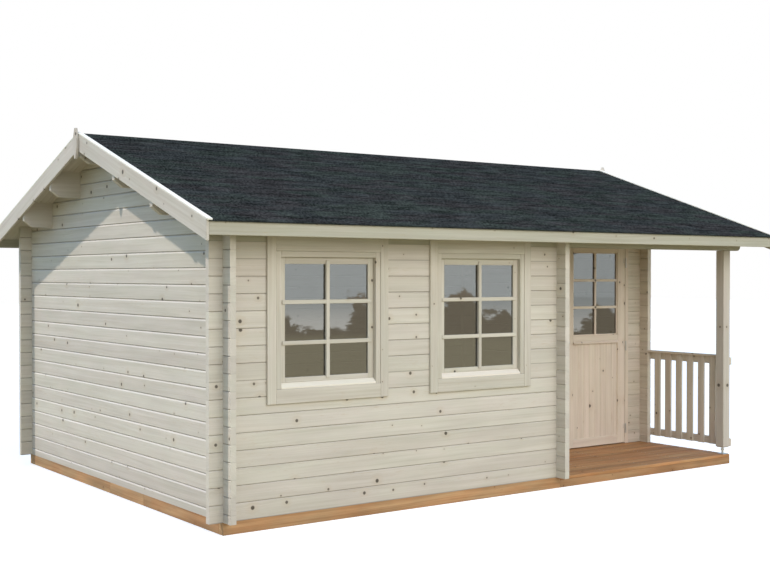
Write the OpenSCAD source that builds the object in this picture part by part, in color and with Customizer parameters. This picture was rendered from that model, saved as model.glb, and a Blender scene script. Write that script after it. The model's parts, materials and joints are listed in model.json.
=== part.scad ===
// Log cabin garden shed with a corner porch, in millimetres.
// Origin at the middle of the footprint on the ground, +X along the front, +Y to the back, +Z up.

/* [Log walls] */
// Length of the cabin over its outer wall faces
wall_l = 5100; // [4700:10:5800]
// Depth of the cabin over its outer wall faces
wall_w = 3670; // [3400:10:4200]
// Height of the front wall's outer face above the base
wall_h = 2022; // [1995:1:2120]
// Height of one log course
log_h = 114; // [112:1:118]
// Thickness of a log
log_t = 44; // [34:1:60]
// Length of log that runs on past a corner
log_end = 100; // [60:5:140]
// Chamfer along the edges of each log
log_chamfer = 5; // [2:0.5:8]

/* [Base and floor] */
// Height of the base beams
base_h = 85; // [70:1:120]
// Width of the base beams
base_beam_w = 60; // [48:1:80]
// Width of a joist
joist_w = 45; // [36:1:60]
// Largest distance between joists
joist_pitch = 620; // [450:10:800]
// Thickness of the floor boards and the deck boards
floor_t = 26; // [18:1:32]
// How far the deck boards stand out past the porch beams
deck_over = 0; // [0:1:20]

/* [Porch] */
// Length of the porch along the front, with its side wall
porch_l = 2138; // [1900:10:2300]
// Depth of the porch, from the front to the wall with the door
porch_d = 1030; // [900:10:1200]
// Side of the square porch post
post_s = 88; // [70:1:110]
// Gap under the post that its adjustable foot bridges
post_gap = 66; // [40:1:90]
// Side of the foot's square plates
foot_w = 70; // [50:1:70]
// Thickness of the foot's plates
foot_t = 5; // [4:1:8]
// Radius of the foot's threaded rod
foot_rod_r = 9; // [7:0.5:12]
// Radius over the corners of the foot's nut
foot_nut_r = 16; // [14:0.5:20]
// Height of the foot's nut
foot_nut_h = 14; // [10:1:18]
// Number of log courses under the beam that spans the porch
beam_course_n = 16; // [16:1:17]
// Length of the beam past the right wall
beam_end = 140; // [100:5:170]
// Radius of the lower corner at the beam's end
beam_round = 45; // [20:1:70]

/* [Railing] */
// Height of the railing's cap above the deck
rail_top = 887; // [800:1:1000]
// Height of the bottom rail's underside above the deck
rail_gap = 71; // [50:1:110]
// Height of a rail board
rail_h = 66; // [50:1:90]
// Thickness of a rail board
rail_t = 24; // [18:1:32]
// Thickness of the cap board
rail_cap_t = 20; // [14:1:28]
// Width of a baluster
baluster_w = 68; // [50:1:80]
// Thickness of a baluster
baluster_t = 18; // [14:1:24]
// Number of balusters
baluster_n = 6; // [5:1:7]

/* [Roof] */
// Slope of the roof in degrees
roof_pitch = 19; // [17:0.5:22]
// Overhang past the end walls, to the barge boards' outer face
gable_over = 265; // [200:5:300]
// Overhang past the long walls, to the eaves boards' outer face
eave_over = 290; // [200:5:340]
// Thickness of the roof boards
roof_board_t = 18; // [14:1:24]
// Thickness of the shingles
shingle_t = 6; // [4:1:12]
// How far the shingles hang out past the eaves boards
shingle_over = 14; // [8:1:30]
// Gap between each layer of the roof and what it lies on
roof_gap = 0.2; // [0.1:0.1:0.5]
// Height of a purlin at its middle
purlin_h = 200; // [150:5:220]
// Thickness of a purlin
purlin_t = 44; // [36:1:60]
// Distance from purlin to purlin
purlin_gap = 640; // [580:1:680]
// Length of the sloping cut under a purlin's end
purlin_cut_run = 70; // [50:1:130]
// Height of the sloping cut under a purlin's end
purlin_cut_rise = 52; // [30:1:130]

/* [Roof edge boards] */
// Thickness of the barge boards and the eaves boards
edge_t = 20; // [16:1:28]
// Width of a barge board
barge_w = 124; // [90:1:140]
// Height of an eaves board at its outer face
fascia_h = 88; // [70:1:110]
// Width of the cap strip over a barge board
cap_w = 38; // [30:1:80]
// Thickness of the cap strip
cap_t = 12; // [8:1:24]
// Height of the finial board
finial_h = 236; // [180:2:300]
// Width of the finial board
finial_w = 76; // [60:1:100]
// Width of the finial's two tips
finial_tip = 20; // [10:1:30]
// Height of the finial's top above the caps at the ridge
finial_rise = 28; // [10:1:60]

/* [Windows] */
// Width of a window frame
window_w = 850; // [760:5:900]
// Height of a window frame
window_h = 924; // [880:2:960]
// Play round a window frame in the wall
window_gap = 0.4; // [0.2:0.1:0.8]
// Distance from the beam's underside down to a window frame's top
window_drop = 57; // [20:1:100]
// How far the left window lies to the right of an even spread along the front wall
left_window_shift = -29; // [-60:1:60]
// How far the right window lies to the right of an even spread along the front wall
right_window_shift = 64; // [-60:1:80]
// Width of the casing boards beside a window
casing_w = 68; // [50:1:72]
// Height of the casing board over a window
casing_top = 98; // [60:1:110]
// Height of the casing board under a window
casing_bottom = 98; // [70:1:120]
// Thickness of a casing board
casing_t = 18; // [12:1:24]
// Width of a window frame's jambs and head
frame_w = 40; // [32:1:50]
// Height of the sill at its front
sill_h = 12; // [10:1:18]
// How much the sill's top rises from its front to the sash
sill_rise = 27; // [20:1:32]
// How far a window frame lies behind the face of its casing
frame_set_back = 4; // [0:1:8]
// How far the sash lies behind the frame's face
sash_set_back = 30; // [22:1:32]
// Width of the sash's stiles and top rail
sash_w = 46; // [38:1:60]
// Height of the sash's bottom rail
sash_bottom = 34; // [30:1:60]
// Thickness of a sash
sash_t = 28; // [24:1:36]
// Thickness of the glass
glass_t = 4; // [3:1:6]

/* [Door] */
// Width of the door leaf
leaf_w = 786; // [700:2:840]
// Thickness of the door leaf
leaf_t = 40; // [34:1:46]
// Distance from the leaf's hinge edge to the right wall's outer face
leaf_right = 252; // [240:1:300]
// Number of log courses under the head of the doorway
door_course_n = 17; // [16:1:18]
// Gap round the door leaf
leaf_gap = 5; // [4:0.5:8]
// Gap between the leaf and the floor
leaf_lift = 8; // [6:1:14]
// Width of the door frame's jambs and head
jamb_w = 42; // [32:1:55]
// Depth of the door frame through the wall
jamb_t = 80; // [70:1:110]
// How far the door frame stands out from the wall's outer face
jamb_proud = 2; // [0:1:12]
// How far the stop behind the leaf reaches in from the jamb
stop_w = 15; // [10:1:25]
// Width of the leaf's stiles
stile_w = 100; // [80:1:130]
// Height of the leaf's bottom rail
bottom_rail_h = 79; // [70:1:160]
// Height of the boarded panel
panel_h = 879; // [780:1:950]
// Thickness of the panel's boards
panel_t = 18; // [12:1:22]
// How far the panel lies behind the leaf's face
panel_set_back = 10; // [5:1:14]
// Number of boards in the panel
panel_boards = 8; // [6:1:10]
// Depth of the grooves between the panel's boards
panel_groove = 3; // [2:0.5:5]
// Height of the rail between the panel and the glass
mid_rail_h = 87; // [70:1:120]
// Width of the beads between the stiles and the glass
bead_w = 12; // [8:1:24]
// Depth that the beads lie behind the leaf's face
bead_set_back = 6; // [3:1:10]
// Height of the leaf's top rail
top_rail_h = 71; // [50:1:140]
// Height of the drip ledge
ledge_h = 24; // [16:1:32]
// How far the drip ledge stands out
ledge_out = 14; // [8:1:20]

/* [Door fittings] */
// Outer radius of a hinge knuckle
knuckle_r = 7; // [5:0.5:10]
// Height of a hinge
hinge_h = 90; // [70:2:120]
// Thickness of a hinge plate
hinge_t = 2; // [1.5:0.5:3]
// Width of a hinge plate
hinge_w = 26; // [18:1:30]
// Height of the lowest hinge's middle above the leaf's underside
hinge_low = 136; // [110:1:220]
// Distance from hinge to hinge
hinge_pitch = 788; // [740:1:800]
// Gap between the two knuckles of a hinge
knuckle_gap = 0.5; // [0.2:0.1:1]
// Height of the knob above the floor
knob_z = 985; // [900:5:1060]
// Distance from the leaf's free edge to the knob's middle
knob_inset = 20; // [16:1:50]
// Radius of the knob
knob_r = 13; // [11:0.5:15]
// Radius of the knob's neck
neck_r = 6; // [5:0.5:8]
// How far the knob stands out from the leaf
knob_out = 36; // [30:1:45]
// Height of the knob's plate
plate_h = 150; // [120:5:200]
// Width of the knob's plate
plate_w = 26; // [24:1:32]
// Thickness of the knob's plate
plate_t = 5; // [4:1:8]

/* [Hidden] */
$fn = 48;

log_colour = "#c8c0b0";
board_colour = "#cfc8ba";
treated_colour = "#a5805f";
door_colour = "#cbb9a2";
shingle_colour = "#343c3e";
glass_colour = "#8a8f90";
metal_colour = "#b4b6b8";

// Overlap that keeps a cut clear of the face that it passes through
cut = 2;

// Faces of the walls
right = wall_l / 2;
left = -right;
back = wall_w / 2;
front = -back;
cross = right - porch_l;
door_face = front + porch_d;

// Heights
wall_top = base_h + wall_h;
beam_z = joint(beam_course_n);
gable_split = joint(beam_course_n + 0.5);
doorway_top = joint(door_course_n);
above_all = under_roof(0) + wall_h;
courses = ceil((above_all - base_h) / log_h);

// Log joints that the windows fall between
window_high = beam_z - window_drop;
window_low = window_high - window_h;
lower_top = joint(ceil((window_low - base_h) / log_h));
head_low = joint(floor((window_high - base_h) / log_h));
window_margin = round((cross - left - 2 * window_w) / 3);
window_xs = [
    left + window_margin + window_w / 2 + left_window_shift,
    left + 2 * window_margin + 1.5 * window_w + right_window_shift
];
hole_w = window_w + 2 * window_gap;
hole_h = window_h + 2 * window_gap;
window_face = front - casing_t + frame_set_back;
sash_face = window_face + sash_set_back;
sash_low = window_low + sill_h + sill_rise;
piers = [
    [left - log_end, window_xs[0] - hole_w / 2],
    [window_xs[0] + hole_w / 2, window_xs[1] - hole_w / 2],
    [window_xs[1] + hole_w / 2, cross + log_t + log_end]
];

// Roof
boards_top = roof_gap + roof_board_t / cos(roof_pitch);
cover_low = boards_top + roof_gap;
cover_top = cover_low + shingle_t / cos(roof_pitch);
cap_low = cover_top + roof_gap;
cap_top = cap_low + cap_t / cos(roof_pitch);
eave = back + eave_over;
verge = right + gable_over;
purlin_places = [-2, -1, 1, 2];

// Ends of the railing between the post and the right wall's log ends
rail_y0 = front + post_s;
rail_y1 = door_face - log_end;

// Door
leaf_x = right - leaf_right;
leaf_low = base_h + leaf_lift;
leaf_h = doorway_top - jamb_w - leaf_gap - leaf_low;
leaf_face = door_face - jamb_proud;
doorway = [leaf_x - leaf_w - leaf_gap - jamb_w, leaf_x + leaf_gap + jamb_w];
panel_low = leaf_low + bottom_rail_h;
glazing_low = panel_low + panel_h + mid_rail_h - bead_w;
glazing_high = leaf_low + leaf_h - top_rail_h;
opening_w = leaf_w - 2 * stile_w;
opening_x = leaf_x - leaf_w + stile_w;
hinge_axis = [leaf_x + leaf_gap / 2, leaf_face - knuckle_r];
hinge_zs = [for (i = [0 : 2]) leaf_low + hinge_low + i * hinge_pitch];

// Height of the log joint above the k-th course
function joint(k) = base_h + k * log_h;

// Height of the roof boards' underside at a distance y from the ridge line
function under_roof(y) = wall_top + (back - abs(y)) * tan(roof_pitch);

// Section of a stack of logs from z0 to z1, whose joints lie shift courses above the base
module log_stack(z0, z1, shift) {
    joints = [for (k = [0 : courses]) if (joint(k + shift) > z0 + log_chamfer
        && joint(k + shift) < z1 - log_chamfer) joint(k + shift)];
    half = log_t / 2;
    side = concat([[half, z0]],
        [for (z = joints) each [[half, z - log_chamfer], [half - log_chamfer, z], [half, z + log_chamfer]]],
        [[half, z1]]);
    polygon(concat(side, [for (i = [len(side) - 1 : -1 : 0]) [-side[i][0], side[i][1]]]));
}

// Logs that run along X, with their outer face at y
module x_logs(x0, x1, y, z0, z1) {
    translate([x0, y + log_t / 2, 0]) rotate([90, 0, 90])
        linear_extrude(x1 - x0) log_stack(z0, z1, 0);
}

// Logs that run along Y, with their lower X face at x
module y_logs(y0, y1, x, z0, z1) {
    translate([x + log_t / 2, y1, 0]) rotate([90, 0, 0])
        linear_extrude(y1 - y0) log_stack(z0, z1, 0.5);
}

// Notches cut in logs along X where the wall at x crosses them
module x_notches(x, y, first = 0) {
    for (k = [first : courses]) translate([x, y - cut, joint(k - 0.25)])
        cube([log_t, log_t + 2 * cut, log_h / 2]);
}

// Notches cut in logs along Y where the wall at y crosses them
module y_notches(x, y, first = 0) {
    for (k = [first : courses]) translate([x - cut, y, joint(k + 0.25)])
        cube([log_t + 2 * cut, log_t, log_h / 2]);
}

// Everything above the underside of the roof boards
module above_roof() {
    translate([-2 * verge, 0, 0]) rotate([90, 0, 90]) linear_extrude(4 * verge)
        polygon([[-2 * eave, under_roof(2 * eave)], [0, under_roof(0)], [2 * eave, under_roof(2 * eave)],
            [2 * eave, 2 * above_all], [-2 * eave, 2 * above_all]]);
}

// Holes for the two windows, right through the front wall
module window_holes() {
    for (x = window_xs) translate([x - hole_w / 2, front - cut, window_low - window_gap])
        cube([hole_w, log_t + 2 * cut, hole_h]);
}

// Band along one roof slope from y0 to y1, between two heights above the boards' underside
module slope_band(x0, x1, y0, y1, low, high) {
    translate([x0, 0, 0]) rotate([90, 0, 90]) linear_extrude(x1 - x0)
        polygon([[y0, under_roof(y0) + low], [y1, under_roof(y1) + low],
            [y1, under_roof(y1) + high], [y0, under_roof(y0) + high]]);
}

// Purlin whose middle lies y from the ridge, with its ends cut to a slope underneath
module purlin(y) {
    end = verge - edge_t;
    low = under_roof(y) - purlin_h;
    half = purlin_t / 2;
    difference() {
        translate([-end, 0, 0]) rotate([90, 0, 90]) linear_extrude(2 * end)
            polygon([[y - half, low], [y + half, low], [y + half, under_roof(y + half)],
                [y, under_roof(y)], [y - half, under_roof(y - half)]]);
        for (side = [-1, 1]) translate([0, y + half + cut, low]) rotate([90, 0, 0])
            linear_extrude(purlin_t + 2 * cut)
                polygon([[side * (end - purlin_cut_run), 0], [side * (end - purlin_cut_run), -cut],
                    [side * (end + cut), -cut], [side * (end + cut), purlin_cut_rise],
                    [side * end, purlin_cut_rise]]);
    }
}

// Slots for the purlins in the walls that they pass through
module purlin_slots() {
    for (i = concat([0], purlin_places)) {
        y = i * purlin_gap;
        translate([-verge, y - purlin_t / 2, under_roof(y) - purlin_h])
            cube([2 * verge, purlin_t, above_all]);
    }
}

// Base beams under the walls that run along X
module base_long_beams() {
    color(treated_colour) {
        translate([left, front, 0]) cube([cross + log_t - left, base_beam_w, base_h]);
        translate([left, back - base_beam_w, 0]) cube([wall_l, base_beam_w, base_h]);
        translate([cross + log_t, door_face, 0]) cube([right - cross - log_t, base_beam_w, base_h]);
    }
}

// Base beams under the walls that run along Y
module base_side_beams() {
    inner_front = front + base_beam_w;
    inner_back = back - base_beam_w;
    color(treated_colour) {
        translate([left, inner_front, 0]) cube([base_beam_w, inner_back - inner_front, base_h]);
        translate([right - base_beam_w, door_face + base_beam_w, 0])
            cube([base_beam_w, inner_back - door_face - base_beam_w, base_h]);
        translate([cross + log_t - base_beam_w, inner_front, 0])
            cube([base_beam_w, door_face + base_beam_w - inner_front, base_h]);
    }
}

// Row of joists spread evenly between x0 and x1, from y0 to y1, the first one on x0 if first is 0
module joist_row(x0, x1, y0, y1, first = 1) {
    bays = ceil((x1 - x0) / joist_pitch);
    for (i = [first : bays - 1]) translate([x0 + i * (x1 - x0) / bays - joist_w / 2, y0, 0])
        cube([joist_w, y1 - y0, base_h - floor_t]);
}

// Joists under the room's floor
module floor_joists() {
    inner_back = back - base_beam_w;
    inner_door = door_face + base_beam_w;
    color(treated_colour) {
        joist_row(left + base_beam_w, cross + log_t - base_beam_w, front + base_beam_w, inner_back);
        joist_row(cross + log_t - base_beam_w / 2, right - base_beam_w, inner_door, inner_back, 0);
    }
}

// Beam under the front edge of the porch deck
module porch_front_beam() {
    color(treated_colour) translate([cross + log_t, front, 0])
        cube([right - cross - log_t, base_beam_w, base_h - floor_t]);
}

// Joists under the porch deck, the last one flush with the right wall
module porch_joists() {
    y0 = front + base_beam_w;
    color(treated_colour) {
        joist_row(cross + log_t, right - joist_w, y0, door_face);
        translate([right - joist_w, y0, 0]) cube([joist_w, door_face - y0, base_h - floor_t]);
    }
}

// Floor of the room, which steps back round the porch
module floor_boards() {
    x0 = left + base_beam_w;
    x1 = cross + log_t - base_beam_w;
    x2 = right - base_beam_w;
    y0 = front + base_beam_w;
    y1 = door_face + base_beam_w;
    y2 = back - base_beam_w;
    color(board_colour) translate([0, 0, base_h - floor_t]) linear_extrude(floor_t)
        polygon([[x0, y0], [x1, y0], [x1, y1], [x2, y1], [x2, y2], [x0, y2]]);
}

// Deck of the porch
module porch_deck() {
    color(treated_colour) translate([cross + log_t, front - deck_over, base_h - floor_t])
        cube([right + deck_over - cross - log_t, porch_d + deck_over, floor_t]);
}

// Front wall's logs under the windows
module front_wall_lower() {
    color(log_colour) difference() {
        x_logs(left - log_end, cross + log_t + log_end, front, base_h, lower_top);
        x_notches(left, front);
        x_notches(cross, front);
        window_holes();
    }
}

// Front wall's logs beside and between the windows
module front_wall_piers() {
    color(log_colour) difference() {
        for (span = piers) x_logs(span[0], span[1], front, lower_top, head_low);
        x_notches(left, front);
        x_notches(cross, front);
    }
}

// Front wall's log over the windows
module front_wall_head() {
    color(log_colour) difference() {
        x_logs(left - log_end, cross + log_t + log_end, front, head_low, beam_z);
        x_notches(left, front);
        x_notches(cross, front);
        window_holes();
    }
}

// Top logs of the front wall, which run on over the porch as its beam
module front_beam() {
    x1 = right + beam_end;
    color(log_colour) difference() {
        x_logs(left - log_end, x1, front, beam_z, above_all);
        x_notches(left, front);
        x_notches(cross, front);
        x_notches(right - log_t, front, beam_course_n + 1);
        above_roof();
        translate([x1, front - cut, beam_z]) rotate([-90, 0, 0])
            linear_extrude(log_t + 2 * cut) difference() {
                translate([-beam_round, -beam_round]) square(beam_round + cut);
                translate([-beam_round, -beam_round]) circle(beam_round);
            }
    }
}

// End wall on the left, up to the ridge
module left_gable_wall() {
    color(log_colour) difference() {
        y_logs(front - log_end, back + log_end, left, base_h, above_all);
        y_notches(left, front);
        y_notches(left, back - log_t);
        above_roof();
        purlin_slots();
    }
}

// End wall on the right behind the porch, up to the beam
module right_gable_lower() {
    color(log_colour) difference() {
        y_logs(door_face - log_end, back + log_end, right - log_t, base_h, gable_split);
        y_notches(right - log_t, door_face);
        y_notches(right - log_t, back - log_t);
    }
}

// End wall on the right over the porch, up to the ridge
module right_gable_upper() {
    color(log_colour) difference() {
        y_logs(front - log_end, back + log_end, right - log_t, gable_split, above_all);
        y_notches(right - log_t, front, beam_course_n);
        y_notches(right - log_t, door_face);
        y_notches(right - log_t, back - log_t);
        above_roof();
        purlin_slots();
    }
}

// Back wall
module back_wall() {
    y = back - log_t;
    color(log_colour) difference() {
        x_logs(left - log_end, right + log_end, y, base_h, above_all);
        x_notches(left, y);
        x_notches(right - log_t, y);
        above_roof();
    }
}

// Wall between the front wall and the wall with the door, beside the porch
module cross_wall() {
    color(log_colour) difference() {
        y_logs(front - log_end, door_face + log_t + log_end, cross, base_h, above_all);
        y_notches(cross, front);
        y_notches(cross, door_face);
        above_roof();
        purlin_slots();
    }
}

// Door wall's logs between x0 and x1 and from z0 to z1, which stop under a purlin that lies along them
module door_wall(x0, x1, z0, z1) {
    wall_middle = door_face + log_t / 2;
    color(log_colour) difference() {
        x_logs(x0, x1, door_face, z0, z1);
        x_notches(cross, door_face);
        x_notches(right - log_t, door_face);
        above_roof();
        for (i = purlin_places) {
            y = i * purlin_gap;
            if (abs(y - wall_middle) < (purlin_t + log_t) / 2 + cut)
                translate([-verge, door_face - cut, under_roof(y) - purlin_h])
                    cube([2 * verge, log_t + 2 * cut, above_all]);
        }
    }
}

module door_wall_left() {
    door_wall(cross - log_end, doorway[0], base_h, doorway_top);
}

module door_wall_right() {
    door_wall(doorway[1], right + log_end, base_h, doorway_top);
}

module door_wall_head() {
    door_wall(cross - log_end, right + log_end, doorway_top, above_all);
}

// Upright rectangular ring with its outer corner at [x, z], extruded backwards from y
module ring(x, z, w, h, sides, bottom, top, y, depth) {
    translate([x, y + depth, z]) rotate([90, 0, 0]) linear_extrude(depth) difference() {
        square([w, h]);
        translate([sides, bottom]) square([w - 2 * sides, h - bottom - top]);
    }
}

// Flat casing boards round each window
module window_casings() {
    low = window_low - window_gap - casing_bottom;
    color(board_colour) for (x = window_xs) ring(x - hole_w / 2 - casing_w, low,
        hole_w + 2 * casing_w, hole_h + casing_top + casing_bottom, casing_w, casing_bottom, casing_top,
        front - casing_t, casing_t);
}

// Window frames through the wall, with a sill that slopes outwards
module window_frames() {
    inside = front + log_t;
    inner_w = window_w - 2 * frame_w;
    color(board_colour) for (x = window_xs) {
        ring(x - window_w / 2, window_low, window_w, window_h, frame_w, sill_h, frame_w,
            window_face, inside - window_face);
        translate([x - inner_w / 2, 0, window_low + sill_h]) rotate([90, 0, 90]) linear_extrude(inner_w)
            polygon([[window_face, 0], [inside, 0], [inside, sill_rise], [sash_face, sill_rise]]);
    }
}

// Sashes that close on the frames
module window_sashes() {
    w = window_w - 2 * frame_w;
    h = window_high - frame_w - sash_low;
    color(board_colour) for (x = window_xs)
        ring(x - w / 2, sash_low, w, h, sash_w, sash_bottom, sash_w, sash_face, sash_t);
}

// Panes that fill the sashes
module window_glass() {
    w = window_w - 2 * frame_w - 2 * sash_w;
    low = sash_low + sash_bottom;
    h = window_high - frame_w - sash_w - low;
    color(glass_colour) for (x = window_xs)
        translate([x - w / 2, sash_face + (sash_t - glass_t) / 2, low]) cube([w, glass_t, h]);
}

// Jambs, head and threshold of the doorway, with a stop behind the leaf
module door_frame() {
    w = doorway[1] - doorway[0];
    h = doorway_top - base_h;
    stop_y = leaf_face + leaf_t + leaf_gap;
    inner_face = leaf_face + jamb_t;
    color(board_colour) {
        translate([doorway[0], inner_face, base_h]) rotate([90, 0, 0])
            linear_extrude(jamb_t) difference() {
                square([w, h]);
                translate([jamb_w, -cut]) square([w - 2 * jamb_w, h - jamb_w + cut]);
            }
        ring(doorway[0] + jamb_w, base_h, w - 2 * jamb_w, h - jamb_w, stop_w, stop_w + leaf_lift, stop_w,
            stop_y, inner_face - stop_y);
    }
}

// Stiles and rails of the door leaf, with the drip ledge under the glass
module door_leaf() {
    ledge_z = panel_low + panel_h;
    glazing_h = glazing_high - glazing_low;
    color(door_colour) {
        difference() {
            translate([leaf_x - leaf_w, leaf_face, leaf_low]) cube([leaf_w, leaf_t, leaf_h]);
            translate([opening_x, leaf_face - cut, panel_low])
                cube([opening_w, leaf_t + 2 * cut, panel_h]);
            translate([opening_x, leaf_face - cut, glazing_low])
                cube([opening_w, leaf_t + 2 * cut, glazing_h]);
        }
        ring(opening_x, glazing_low, opening_w, glazing_h, bead_w, bead_w, bead_w,
            leaf_face + bead_set_back, leaf_t - 2 * bead_set_back);
        translate([opening_x, 0, ledge_z]) rotate([90, 0, 90]) linear_extrude(opening_w)
            polygon([[leaf_face, 0], [leaf_face, ledge_h], [leaf_face - ledge_out, ledge_h / 2],
                [leaf_face - ledge_out, 0]]);
    }
}

// Tongued and grooved boards in the lower part of the leaf
module door_panel() {
    board = opening_w / panel_boards;
    y0 = leaf_face + panel_set_back;
    y1 = y0 + panel_t;
    grooves = [for (i = [1 : panel_boards - 1]) each [[i * board - panel_groove, y0],
        [i * board, y0 + panel_groove], [i * board + panel_groove, y0]]];
    color(door_colour) translate([opening_x, 0, panel_low]) linear_extrude(panel_h)
        polygon(concat([[0, y0]], grooves, [[opening_w, y0], [opening_w, y1], [0, y1]]));
}

// Pane in the upper part of the leaf
module door_glass() {
    color(glass_colour)
        translate([opening_x + bead_w, leaf_face + (leaf_t - glass_t) / 2, glazing_low + bead_w])
            cube([opening_w - 2 * bead_w, glass_t, glazing_high - glazing_low - 2 * bead_w]);
}

// Half of each hinge: its knuckle from z0 to z1 over the hinge's foot, and its plate towards side
module hinge_half(z0, z1, side) {
    gap = leaf_gap / 2;
    color(metal_colour) for (z = hinge_zs) translate([hinge_axis[0], hinge_axis[1], z - hinge_h / 2]) {
        translate([0, 0, z0]) cylinder(r = knuckle_r, h = z1 - z0);
        translate([side > 0 ? gap : -gap - hinge_w, knuckle_r - hinge_t, z0])
            cube([hinge_w, hinge_t, z1 - z0]);
        translate([side > 0 ? 0 : -gap, knuckle_r - hinge_t, z0]) cube([gap, hinge_t, z1 - z0]);
    }
}

// Upper halves of the hinges, on the leaf
module door_hinges() {
    hinge_half((hinge_h + knuckle_gap) / 2, hinge_h, -1);
}

// Lower halves of the hinges, on the jamb
module frame_hinges() {
    hinge_half(0, (hinge_h - knuckle_gap) / 2, 1);
}

// Turned knob on a narrow plate, on the outer face of the leaf
module door_handle() {
    neck_l = knob_out - plate_t - 2 * knob_r;
    color(metal_colour) translate([leaf_x - leaf_w + knob_inset, leaf_face, base_h + knob_z]) {
        translate([-plate_w / 2, -plate_t, -plate_h / 2]) cube([plate_w, plate_t, plate_h]);
        translate([0, -plate_t, 0]) rotate([90, 0, 0]) {
            cylinder(r = neck_r, h = neck_l + knob_r);
            translate([0, 0, neck_l + knob_r]) sphere(knob_r);
        }
    }
}

// Post under the beam's end
module porch_post() {
    low = base_h + post_gap;
    color(board_colour) translate([right - post_s, front, low]) cube([post_s, post_s, beam_z - low]);
}

// Adjustable foot: a plate on the deck, a threaded rod with its nut and a plate under the post
module post_foot() {
    color(metal_colour) translate([right - post_s / 2, front + post_s / 2, base_h]) {
        for (z = [0, post_gap - foot_t]) translate([-foot_w / 2, -foot_w / 2, z])
            cube([foot_w, foot_w, foot_t]);
        cylinder(r = foot_rod_r, h = post_gap);
        translate([0, 0, post_gap / 2]) cylinder(r = foot_nut_r, h = foot_nut_h, $fn = 6);
    }
}

// Top and bottom rail on the outer face of the post and of the log ends
module railing_rails() {
    color(board_colour) for (z = [base_h + rail_gap, base_h + rail_top - rail_cap_t - rail_h])
        translate([right, front, z]) cube([rail_t, door_face - front, rail_h]);
}

// Cap board over the balusters
module railing_cap() {
    cap = baluster_t + rail_t;
    color(board_colour) translate([right - cap, rail_y0, base_h + rail_top - rail_cap_t])
        cube([cap, rail_y1 - rail_y0, rail_cap_t]);
}

// Balusters on the inner face of the rails
module railing_balusters() {
    gap = (rail_y1 - rail_y0 - baluster_n * baluster_w) / (baluster_n + 1);
    low = base_h + rail_gap;
    color(board_colour) for (i = [0 : baluster_n - 1])
        translate([right - baluster_t, rail_y0 + gap + i * (baluster_w + gap), low])
            cube([baluster_t, baluster_w, rail_top - rail_cap_t - rail_gap]);
}

// Purlin under the ridge
module ridge_purlin() {
    color(board_colour) purlin(0);
}

// Purlins half way down the slopes
module purlins() {
    color(board_colour) for (i = purlin_places) purlin(i * purlin_gap);
}

// Roof boards of one slope, towards the front for side -1
module roof_boards(side) {
    x = verge - edge_t;
    color(board_colour) slope_band(-x, x, 0, side * (eave - edge_t), roof_gap, boards_top);
}

module roof_boards_front() {
    roof_boards(-1);
}

module roof_boards_back() {
    roof_boards(1);
}

// Shingles of one slope
module shingles(side) {
    x = verge - edge_t;
    color(shingle_colour) slope_band(-x, x, 0, side * (eave + shingle_over), cover_low, cover_top);
}

module shingles_front() {
    shingles(-1);
}

module shingles_back() {
    shingles(1);
}

// Boards along both eaves, with their top cut to the slope
module eaves_boards() {
    x = verge - edge_t;
    color(board_colour) for (side = [-1, 1]) difference() {
        translate([-x, side > 0 ? eave - edge_t : -eave, under_roof(eave) + boards_top - fascia_h])
            cube([2 * x, edge_t, 2 * fascia_h]);
        translate([0, 0, boards_top]) above_roof();
    }
}

// Barge boards of one slope, at both ends of the roof
module barge_boards(side) {
    color(board_colour) for (x = [-verge, verge - edge_t])
        slope_band(x, x + edge_t, 0, side * eave, cover_top - barge_w / cos(roof_pitch), cover_top);
}

module barge_boards_front() {
    barge_boards(-1);
}

module barge_boards_back() {
    barge_boards(1);
}

// Cap strips over the barge boards and the shingles' edge
module barge_caps(side) {
    color(board_colour) for (x = [-verge, verge - cap_w])
        slope_band(x, x + cap_w, 0, side * (eave + shingle_over), cap_low, cap_top);
}

module barge_caps_front() {
    barge_caps(-1);
}

module barge_caps_back() {
    barge_caps(1);
}

// Pointed boards over the joint of the barge boards
module finials() {
    top = under_roof(0) + cap_top + finial_rise;
    half = finial_w / 2;
    tip = finial_tip / 2;
    shoulder = finial_h / 3;
    color(board_colour) for (x = [-verge - edge_t, verge]) translate([x, 0, top - finial_h])
        rotate([90, 0, 90]) linear_extrude(edge_t)
            polygon([[-tip, 0], [tip, 0], [half, shoulder], [half, finial_h - shoulder], [tip, finial_h],
                [-tip, finial_h], [-half, finial_h - shoulder], [-half, shoulder]]);
}

base_long_beams();
base_side_beams();
floor_joists();
porch_front_beam();
porch_joists();
floor_boards();
porch_deck();
front_wall_lower();
front_wall_piers();
front_wall_head();
front_beam();
left_gable_wall();
right_gable_lower();
right_gable_upper();
back_wall();
cross_wall();
door_wall_left();
door_wall_right();
door_wall_head();
window_casings();
window_frames();
window_sashes();
window_glass();
door_frame();
door_leaf();
door_panel();
door_glass();
door_hinges();
frame_hinges();
door_handle();
porch_post();
post_foot();
railing_rails();
railing_cap();
railing_balusters();
ridge_purlin();
purlins();
roof_boards_front();
roof_boards_back();
shingles_front();
shingles_back();
eaves_boards();
barge_boards_front();
barge_boards_back();
barge_caps_front();
barge_caps_back();
finials();
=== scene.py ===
"""Looks of a log cabin garden shed with a corner porch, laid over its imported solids. Sizes in metres."""

import json
import math
import random

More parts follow.
